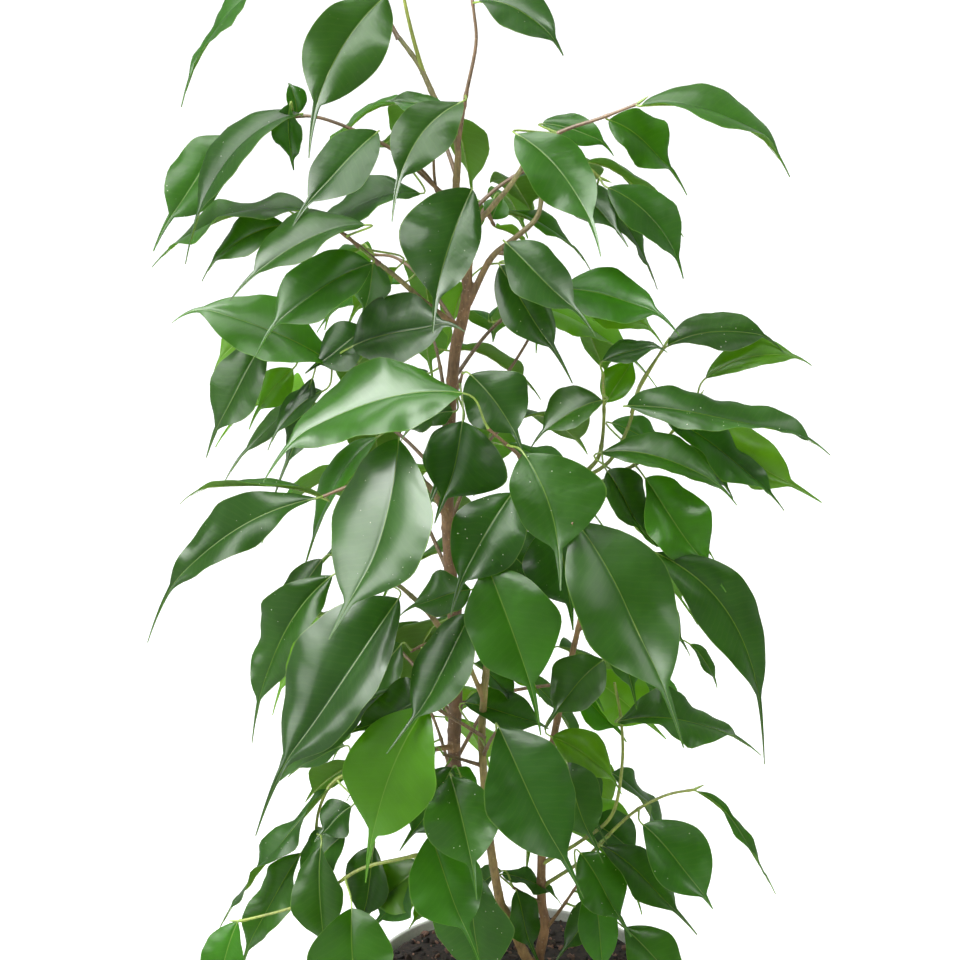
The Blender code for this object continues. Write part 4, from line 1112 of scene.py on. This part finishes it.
# Leaves past the CAD's limit on triangles, and thin bare twigs, as in the sprays' own rows
extraLeaves = {
    "spray_left_high": (
        ((-74, 558), (-79, 530), (6, 10), 22, 30, "mid"),
        ((-62, 555), (-88, 528), (-6, -4), 24, 112, "olive"),
    ),
    "spray_right_high": (
        ((-27, 547), (-37, 514), (-28, -26), 31, 105, "olive"),
    ),
    "spray_left_mid": (
        ((-79, 523), (-107, 501), (10, 6), 26, 25, "deep"),
        ((-106, 497), (-125, 438), (-6, -2), 17, 30, "deep"),
    ),
    "spray_trunk_high": (
        ((-34, 479), (-61, 467), (-2, 2), 23, 35, "deep"),
        ((-29, 473), (-46, 428), (6, 12), 27, 18, "deep"),
    ),
    "spray_centre": (
        ((-15, 412), (26, 374), (28, 38), 36, 24, "deep"),
    ),
    "spray_right_low": (
        ((67, 427), (104, 400), (0, -6), 27, 105, "olive"),
        ((48, 473), (82, 454), (-14, -20), 22, 50, "bright"),
        ((57, 424), (90, 406), (12, 8), 25, 40, "mid"),
    ),
    "spray_front_left": (
        ((-23, 339), (1, 314), (14, 18), 23, 55, "deep"),
        ((-8, 340), (12, 323), (4, 6), 17, 50, "olive"),
    ),
    "spray_front_centre": (
        ((-28, 316), (17, 304), (22, 26), 27, 42, "deep"),
    ),
    "spray_front_bright": (
        ((-43, 324), (-98, 295), (52, 58), 27, 34, "deep"),
    ),
    "spray_front_low": (
        ((-35, 278), (-62, 232), (42, 52), 31, 24, "deep"),
    ),
    "spray_low_left": (
        ((-90, 255), (-108, 234), (22, 24), 25, 32, "deep"),
    ),
    "spray_low_left_front": (
        ((-78, 231), (-88, 177), (24, 28), 27, 22, "deep"),
        ((-52, 221), (-80, 176), (30, 26), 31, 34, "mid"),
    ),
    "spray_low_right_thin": (
        ((39, 246), (69, 219), (4, 8), 27, 34, "deep"),
    ),
    "spray_near_soil": (
        ((-8, 214), (25, 199), (8, 6), 19, 56, "deep"),
    ),
    "spray_right_mid": (
        ((26, 339), (44, 313), (8, 14), 26, 28, "mid"),
    ),
    "spray_low_centre": (
        ((23, 283), (46, 236), (20, 28), 27, 25, "deep"),
    ),
}
bareTwigs = {
    "spray_leader": (
        ((-59, 613, 10), (-50, 606, 10), (-44, 599, 8), (-40, 591, 4), (-31, 584, 3)),
        ((-42, 631, 14), (-43, 617, 12), (-43, 604, 10), (-42, 595, 6)),
        ((-22, 573, 6), (-25, 579, 10), (-27, 586, 14)),
    ),
    "spray_right_high": (
        ((17, 547, 2), (14, 538, 2), (6, 520, -2), (-2, 506, -6), (-10, 494, -8)),
    ),
    "spray_right_outer": (
        ((74, 514, -6), (72, 510, -4), (66, 499, -2), (61, 489, 0), (58, 478, 2)),
    ),
}


def stalkLine(root, base, ribLine):
    look = twigShape
    reach = base - root
    into = (ribLine[0][0] - base).normalized()
    pull = look["stalkPull"] * reach.length
    atTwig, atBlade, fade = look["stalkSwell"]
    bends = (root, root + reach.normalized() * pull, base - into * pull, base)
    points, radii = [], []
    for step in range(9):
        t = step / 8
        weights = ((1 - t) ** 3, 3 * t * (1 - t) ** 2, 3 * t * t * (1 - t), t ** 3)
        points.append(sum((bend * weight for bend, weight in zip(bends, weights)), Vector()))
        swell = 1 + atTwig * math.exp(-t * fade) + atBlade * math.exp(-(1 - t) * fade)
        first, last = look["stalkRadii"]
        radii.append((first + (last - first) * t) * swell * mm)
    for share, (point, up) in zip(look["ribShares"], ribLine):
        radius = (look["ribRadii"][0] + (look["ribRadii"][1] - look["ribRadii"][0]) * share) * mm
        points.append(point - up * (radius * min(1.0, share * 15) + 0.1 * mm))
        radii.append(radius)
    return points, radii


def makeSpray(name, route, leaves, blades, finishes, draw):
    look = twigShape
    line, marks = evenly(smooth(route, 6), 1.2 * mm)
    roots = [nearestOn(line, leaf.base) for leaf in leaves]
    rootSwell, rootReach = look["rootSwell"]
    radii = []
    for point, mark in zip(line, marks):
        radius = look["radii"][0] + (look["radii"][1] - look["radii"][0]) * mark / marks[-1]
        near = min((point - root).length for root in roots) / (look["nodeHalf"] * mm)
        radius *= 1 + look["node"] * math.exp(-near * near) + rootSwell * math.exp(-mark / (rootReach * mm))
        radii.append(radius * mm)
    twigs = [(line, radii)]
    for points in bareTwigs.get(name, ()):
        bare = smooth([seen(*point) for point in points], 5)
        least, more = look["bare"]
        twigs.append((bare, [(least + more * index / len(bare)) * mm for index in range(len(bare))]))
    twig = makeTubes(name, twigs, 3)
    setTone(twig, linear(look["green" if name in greenTwigs else "woody"]))
    twig.data.materials.clear()
    twig.data.materials.append(finishes["twig"])
    end, way = line[-1], (line[-1] - line[-2]).normalized()
    way = (way + upward * 0.3).normalized()
    bud = [end - way * (1.5 * mm)]
    budRadii = [0.6 * mm]
    for share, swell in look["bud"]:
        bud.append(end + way * (look["budLength"] * share * mm))
        budRadii.append(look["budRadius"] * swell * mm)
    made = [bladeCopy(blades, leaf, draw) for leaf in leaves]
    lines = [stalkLine(root, base, ribLine) for root, (_, base, ribLine) in zip(roots, made)]
    if name in buddedTwigs or "far" in name:
        lines.append((bud, budRadii))
    stalks = makeTubes(name + "_stalks", lines, 2)
    setTone(stalks, linear(look["stalk"]))
    stalks.data.materials.clear()
    stalks.data.materials.append(finishes["stalk"])
    for tubes in (twig, stalks):
        selectOnly(tubes)
        bpy.ops.object.shade_smooth_by_angle(angle=math.radians(50.0))
    pieces = [blade for blade, _, _ in made]
    selectOnly(pieces[0], *pieces[1:], stalks, twig)
    bpy.ops.object.join()
    spray = pieces[0]
    spray.name = name.replace("spray", "foliage")
    spray.data.name = spray.name
    dress(spray, name)
    return spray


sprays = {
    "spray_top_left": (
        (
            (-60, 670, 1), (-67, 683, -3), (-75, 695, -9), (-96, 702, -17), (-119, 699, -22),
        ),
        ((-126, 695), (-168, 643), (-22, -12), 31, 62, "mid", 0.14, {"wider": 0.75, "wax": 0.0}),
        ((-66, 691), (-99, 630), (6, 28), 37, 8, "deep",
         {"sickle": 9, "longer": 1.2, "wider": 1.02, "swivel": -8}),
        ((-76, 697), (-63, 729), (-8, -30), 26, 50, "mid"),
        ((-108, 704), (-125, 729), (-24, -42), 26, 60, "mid"),
    ),
    "spray_top": (
        ((-48, 653, 3), (-53, 671, 5), (-57, 689, 6), (-58, 701, 4)),
        ((-57, 698), (-34, 719), (8, 22), 23, 45, "bright"),
        ((-59, 705), (-55, 735), (2, -10), 17, 30, "young", {"hook": 2}),
    ),
    "spray_top_right": (
        (
            (-31, 614, 5), (-30, 623, 8), (-27, 642, 12), (-22, 667, 14), (-23, 683, 14),
            (-25, 696, 12),
        ),
        ((-20, 688), (21, 667), (18, 30), 29, 45, "deep", 0.2),
        ((-29, 639), (-62, 584), (24, 42), 34, 20, "deep",
         {"sickle": 14, "wider": 0.85, "swivel": -6, "wax": 0.0}),
        ((-37, 634), (-67, 641), (16, 10), 17, 55, "bright"),
        ((-26, 699), (-10, 728), (10, -5), 23, 45, "mid"),
    ),
    "spray_upper_left": (
        (
            (-32, 587, 4), (-42, 596, 8), (-57, 610, 14), (-72, 620, 19), (-99, 631, 24),
            (-117, 631, 25), (-139, 626, 22),
        ),
        ((-109, 633), (-169, 569), (30, 38), 36, 55, "deep", 0.2, {"wax": 0.0, "hook": 14}),
        ((-146, 622), (-185, 570), (16, 18), 30, 25, "mid", {"wax": 0.0, "recurve": 0.0, "hook": 10}),
        ((-71, 624), (-109, 584), (27, 42), 27, 30, "deep", {"swivel": -14, "longer": 1.1, "wax": 0.0}),
        ((-50, 593), (-111, 567), (20, 34), 34, 58, "deep", 0.12, {"wax": 0.0}),
        ((-114, 638), (-113, 607), (32, 34), 17, 50, "mid"),
        ((-111, 633), (-115, 650), (20, 17), 12, 40, "mid"),
    ),
    "spray_leader": (
        ((-30, 573, 3), (-27, 584, 14), (-25, 595, 22)),
        ((-24, 595), (-45, 527), (26, 48), 38, 12, "deep",
         {"lopsided": 0.3, "sickle": 4, "wider": 1.05, "swivel": -14}),
    ),
    "spray_left_high": (
        ((-71, 557, 24), (-80, 565, 27), (-93, 575, 28), (-111, 581, 26)),
        ((-104, 583), (-186, 559), (25, 8), 36, 72, "mid", 0.2, {"wax": 0.0}),
        ((-118, 577), (-161, 553), (28, 26), 28, 62, "mid", {"wider": 0.85, "swivel": -20}),
        ((-78, 577), (-146, 542), (38, 54), 34, 62, "deep", 0.12),
        ((-75, 557), (-135, 518), (36, 50), 38, 38, "mid", {"wax": 0.0}),
    ),
    "spray_upper_right": (
        ((5, 613, 24), (20, 624, 28), (40, 631, 30), (58, 638, 30)),
        ((-2, 623), (40, 565), (36, 60), 40, 20, "mid", {"sickle": -9, "wider": 0.78}),
        ((60, 637), (135, 611), (32, 38), 35, 55, "mid", 0.2, {"bellyEnd": 0.85, "wider": 1.15}),
        ((44, 630), (79, 596), (24, 20), 27, 30, "bright", {"wider": 1.2, "sickle": -8}),
        ((11, 628), (47, 617), (22, 26), 21, 40, "bright", {"wider": 0.8}),
    ),
    "spray_right_tip": (
        ((12, 604, 2), (20, 611, 0), (31, 608, -2), (40, 601, -4)),
        ((44, 596), (83, 554), (2, 8), 29, 40, "mid", {"sickle": -8}),
        ((40, 592), (70, 547), (-10, -8), 20, 60, "deep"),
        ((27, 595), (8, 591), (-6, -8), 14, 60, "deep"),
    ),
    "spray_fork": (
        ((-16, 583, 11), (-13, 577, 4)),
        ((-14, 580), (-7, 594), (-4, -8), 15, 20, "bright"),
        ((-12, 576), (5, 567), (2, 6), 16, 100, "olive"),
    ),
    "spray_right_high": (
        ((-10, 563, 5), (0, 560, 10), (14, 551, 12), (27, 542, 12)),
        ((-7, 568), (37, 525), (22, 36), 29, 30, "deep"),
        ((-10, 556), (24, 501), (14, 28), 27, 20, "deep"),
        ((21, 544), (79, 525), (10, 14), 33, 25, "bright", {"ripple": 2.5, "wax": 0.0, "swivel": -14}),
        ((24, 535), (74, 521), (-6, -8), 27, 60, "olive"),
    ),
    "spray_left_mid": (
        ((-81, 502, 0), (-89, 506, -3), (-103, 511, -8), (-122, 516, -14)),
        ((-95, 504), (-177, 539), (4, -12), 35, 48, "bright", {"recurve": 0.0, "wax": 0.0}),
        ((-85, 514), (-26, 526), (22, 30), 35, 22, "deep",
         {"ripple": 2, "curl": 5, "wider": 1.12, "wax": 0.1}),
        ((-130, 517), (-162, 462), (-12, -8), 31, 40, "deep"),
        ((-131, 523), (-157, 503), (-28, -32), 18, 40, "olive"),
        ((-116, 502), (-137, 473), (-22, -24), 19, 25, "olive"),
        ((-101, 490), (-130, 463), (-2, 2), 19, 50, "deep"),
    ),
    "spray_trunk_high": (
        ((-34, 486, -8), (-30, 496, 14), (-29, 500, 26)),
        ((-25, 499), (2, 457), (34, 48), 34, 12, "deep"),
        ((-29, 474), (-43, 423), (24, 36), 39, 15, "deep", {"lopsided": -0.3, "sickle": -6, "wider": 1.15}),
    ),
    "spray_centre_top": (
        ((0, 445, 42), (1, 454, 46), (-7, 462, 52), (-16, 470, 56)),
        ((-29, 489), (-133, 456), (62, 72), 41, 42, "bright",
         {"ripple": 4, "wider": 1.15, "bellyEnd": 0.8, "creased": 0.3, "swivel": 0, "curl": 5, "wax": 0.8}),
        ((3, 456), (21, 386), (58, 78), 44, 8, "mid", {"lopsided": -0.26, "sickle": -9, "ripple": 4}),
        ((-3, 435), (-34, 375), (52, 62), 36, 15, "deep"),
    ),
    "spray_centre_right": (
        ((-3, 413, 42), (7, 420, 56), (20, 421, 72), (29, 418, 82)),
        ((31, 416), (77, 305), (88, 108), 55, 0, "deep",
         {"recurve": 0.24, "recurveFrom": 0.45, "sickle": -4, "bellyEnd": 0.84, "wax": 0.5, "hook": 12,
          "swivel": -3, "creased": 0.3}),
        ((18, 419), (27, 363), (50, 58), 39, 10, "deep"),
    ),
    "spray_centre": (
        ((-6, 391, 41), (-9, 398, 58), (-15, 397, 70)),
        ((-16, 394), (13, 307), (74, 92), 45, 5, "bright"),
        ((-25, 381), (-61, 368), (40, 44), 29, 30, "deep"),
    ),
    "spray_left_large": (
        ((-59, 443, 16), (-61, 453, 40), (-62, 462, 56)),
        ((-62, 464), (-96, 357), (62, 86), 54, 5, "mid",
         {"swivel": 32, "sickle": -11, "wider": 1.14, "creased": 0.1, "longer": 0.95, "bellyEnd": 0.86,
          "curl": 0, "early": 0.2, "recurve": 0.1, "bow": 0.4, "wax": 0.9, "bulge": 0.25}),
    ),
    "spray_left_centre": (
        ((-79, 441, 22), (-90, 438, 22), (-102, 433, 20)),
        ((-105, 432), (-197, 368), (22, 16), 37, 38, "deep", {"wider": 0.75, "sickle": 7, "ripple": 4}),
        ((-100, 431), (-177, 439), (12, 2), 28, 100, "mid", {"wider": 0.6}),
    ),
    "spray_left_lower": (
        ((-65, 384, 38), (-78, 388, 36), (-91, 391, 30)),
        ((-63, 376), (-139, 262), (52, 74), 47, 12, "deep",

         {"swivel": 14, "bulge": 0.6, "wider": 1.16, "lopsided": 0.15, "wax": 0.5, "hook": 18,
          "recurve": 0.06}),
        ((-98, 389), (-143, 306), (28, 30), 31, 45, "deep"),
        ((-103, 398), (-134, 352), (10, 12), 24, 50, "deep"),
    ),
    "spray_front_left": (
        ((-30, 348, 38), (-27, 357, 48), (-25, 364, 54)),
        ((-25, 367), (-64, 290), (62, 80), 34, 22, "deep"),
    ),
    "spray_front_bright": (
        ((-18, 296, 30), (-25, 301, 44), (-36, 308, 58), (-46, 315, 72)),
        ((-49, 314), (-82, 210), (88, 104), 48, 3, "young",
         {"sickle": 5, "curl": 5, "swivel": 4, "ripple": 3, "wider": 1.04, "bellyEnd": 0.78, "longer": 0.95,
          "hook": 4, "recurve": 0.08, "wax": 0.0}),
        ((-67, 324), (-137, 268), (46, 50), 32, 42, "deep"),
    ),
    "spray_front_low": (
        ((-16, 255, 26), (-23, 262, 44), (-34, 271, 62)),
        ((-36, 273), (-22, 206), (72, 90), 38, 12, "mid"),
        ((-47, 238), (-22, 163), (62, 84), 41, 15, "mid"),
        ((-23, 215), (-13, 132), (52, 66), 44, 20, "mid"),
    ),
    "spray_front_centre": (
        ((-18, 286, 29), (-15, 293, 46), (-11, 300, 60)),
        ((-10, 302), (33, 209), (72, 92), 47, 8, "deep"),
    ),
    "spray_low_left_front": (
        (
            (-15, 236, 23), (-36, 230, 40), (-61, 224, 46), (-86, 217, 44), (-108, 201, 38),
            (-125, 193, 34), (-153, 185, 28),
        ),
        ((-91, 193), (-84, 117), (58, 78), 45, 8, "mid"),
        ((-154, 185), (-169, 129), (28, 34), 25, 30, "bright"),
        ((-51, 219), (-82, 193), (30, 26), 30, 35, "olive"),
        ((-48, 202), (-57, 182), (28, 30), 12, 30, "young"),
    ),
    "spray_low_left": (
        ((-76, 281, 2), (-89, 276, 6), (-101, 268, 8), (-108, 252, 10), (-110, 236, 12)),
        ((-103, 265), (-167, 183), (14, 8), 25, 52, "deep",
         {"ripple": 4.5, "curl": 25, "wider": 0.75, "bow": 0.2}),
        ((-118, 227), (-154, 161), (8, 8), 26, 48, "deep", {"ripple": 4.5, "curl": -25, "bow": 0.2}),
        ((-94, 238), (-119, 203), (20, 26), 30, 40, "deep"),
        ((-107, 231), (-106, 160), (26, 36), 28, 35, "deep"),
        ((-93, 291), (-124, 274), (0, -4), 20, 50, "deep"),
        ((-89, 280), (-115, 259), (-8, -12), 28, 120, "mid"),
    ),
    "spray_right_stem": (
        ((36, 447, 0), (42, 456, 4), (44, 475, 6), (43, 500, 4)),
        ((43, 506), (76, 515), (8, 10), 17, 50, "deep"),
        ((43, 485), (6, 463), (22, 34), 29, 42, "deep"),
        ((45, 484), (61, 511), (-12, -22), 18, 15, "young"),
        ((46, 447), (69, 406), (14, 22), 28, 25, "deep"),
    ),
    "spray_right_outer": (
        ((30, 441, -1), (47, 452, 4), (57, 472, 4), (62, 493, 0), (74, 513, -6)),
        ((76, 514), (136, 518), (-8, -24), 25, 50, "deep", 0.12),
        ((56, 482), (162, 467), (14, 0), 32, 52, "mid", 0.08),
    ),
    "spray_right_low": (
        ((22, 432, -2), (43, 441, 5), (63, 452, 4), (76, 464, -4), (92, 485, -12)),
        ((96, 497), (150, 508), (-14, -28), 19, 50, "young", 0.2),
        ((76, 476), (139, 430), (0, -10), 27, 38, "bright"),
        ((88, 477), (151, 432), (-16, -28), 30, 30, "olive"),
        ((43, 457), (113, 435), (20, 12), 30, 50, "mid", {"wider": 0.85}),
        ((66, 443), (106, 386), (20, 26), 34, 25, "bright"),
        ((80, 458), (112, 434), (-8, -14), 18, 50, "deep"),
        ((72, 409), (117, 372), (-20, -30), 28, 120, "mid"),
    ),
    "spray_right_front": (
        ((41, 405, 8), (54, 409, 20), (69, 404, 30)),
        ((72, 402), (134, 299), (34, 40), 38, 32, "deep",
         {"sickle": -13, "bellyEnd": 0.83, "wider": 0.95, "recurve": 0.0, "hook": 16}),
    ),
    "spray_right_mid": (
        ((25, 324, 16), (39, 334, 24), (47, 341, 28)),
        ((46, 341), (17, 302), (36, 48), 30, 25, "deep"),
        ((19, 296), (57, 267), (26, 28), 27, 45, "olive"),
    ),
    "spray_right_thin": (
        (
            (15, 221, 8), (35, 234, 16), (52, 250, 20), (57, 280, 20), (56, 306, 18), (52, 328, 16),
        ),
        ((54, 305), (132, 290), (26, 18), 34, 45, "deep", {"ripple": 7}),
    ),
    "spray_right_behind": (
        ((-33, 315, -24), (1, 324, -40), (39, 329, -50), (66, 334, -55)),
        ((39, 331), (77, 297), (-45, -45), 31, 25, "olive"),
        ((50, 324), (93, 318), (-60, -65), 29, 40, "bright"),
        ((31, 324), (56, 297), (-50, -48), 26, 30, "bright"),
        ((92, 350), (107, 327), (-60, -62), 12, 50, "deep"),
    ),
    "spray_low_centre": (
        ((16, 265, 12), (21, 274, 26), (25, 280, 34)),
        ((27, 281), (45, 227), (40, 52), 28, 20, "deep"),
    ),
    "spray_low_right_thin": (
        (
            (15, 207, 6), (38, 224, 14), (55, 243, 20), (67, 254, 22), (82, 262, 22), (96, 265, 20),
        ),
        ((98, 264), (143, 207), (20, 16), 17, 60, "mid", 0.15, {"wider": 0.55}),
        ((69, 244), (101, 202), (34, 44), 34, 15, "mid",
         {"longer": 1.15, "wider": 1.1, "bellyEnd": 0.88, "scallop": 0.01, "ripple": 1.5}),
        ((47, 231), (95, 178), (30, 38), 32, 30, "deep", {"wider": 0.88}),
    ),
    "spray_low_right": (
        ((17, 181, 4), (25, 193, 16), (34, 208, 26)),
        ((35, 227), (60, 178), (34, 44), 29, 25, "mid"),
        ((42, 209), (48, 142), (28, 38), 22, 20, "bright"),
        ((60, 181), (100, 132), (20, 32), 30, 20, "mid"),
        ((46, 198), (24, 160), (16, 22), 22, 30, "deep"),
    ),
    "spray_inner_left": (
        ((-33, 352, -20), (-44, 352, -8), (-57, 346, 0)),
        ((-62, 350), (-90, 312), (4, 8), 28, 25, "deep"),
        ((-48, 343), (-42, 314), (2, 10), 18, 30, "deep"),
    ),
    "spray_inner_front": (
        ((-18, 279, 28), (-30, 283, 33), (-40, 286, 35)),
        ((-44, 290), (-62, 262), (34, 38), 22, 35, "deep"),
        ((-38, 276), (-20, 266), (36, 42), 14, 45, "bright"),
    ),
    "spray_inner_right": (
        ((32, 358, 15), (43, 366, 20), (56, 370, 22)),
        ((62, 372), (92, 346), (20, 14), 26, 35, "deep"),
        ((50, 362), (60, 318), (26, 34), 24, 20, "deep"),
    ),
    "spray_near_soil": (
        ((14, 196, 5), (6, 201, 11), (-2, 206, 14)),
        ((0, 204), (10, 160), (15, 22), 22, 25, "deep"),
        ((-8, 216), (-30, 198), (10, 2), 16, 60, "deep"),
    ),
}


def makeFoliage():
    finishes = {
        "twig": barkMaterial("greenwoodTwig", 0.5, True),
        "stalk": barkMaterial("leafStalk", 0.42, False),
    }
    blades = makeBlades((leafMaterial(True), leafMaterial(False)))
    draw, extraDraw = random.Random(29), random.Random(17)
    found, far = 0, 0.0
    for name, (route, leaves) in planSprays().items():
        mesh = frame["nodes"][name].data
        corners = KDTree(len(mesh.vertices))
        for index, vertex in enumerate(mesh.vertices):
            corners.insert(vertex.co, index)
        corners.balance()
        placed = []
        for leaf in leaves:
            miss, moved = placedAsInCad(leaf, corners)
            found += miss < 0.4 * mm
            far = max(far, miss)
            placed.append(moved)
        placed += [nearLeaf(route, row, extraDraw) for row in extraLeaves.get(name, ())]
        makeSpray(name, route, placed, blades, finishes, draw)
    for blade in blades.values():
        bpy.data.objects.remove(blade)
    print("foliage made; leaves found in the CAD:", found, "worst miss in mm:", round(far / mm, 2))


setStudio()
makePot()
makeSoil()
bark = barkMaterial("figBark", 0.62, True)
for stemName in stems:
    makeStem(stemName, bark)
makeFoliage()

total = 0
for piece in bpy.context.scene.objects:
    if piece.type == "MESH" and piece not in frame["nodes"].values():
        piece.data.calc_loop_triangles()
        total += len(piece.data.loop_triangles)
print("triangles:", total)
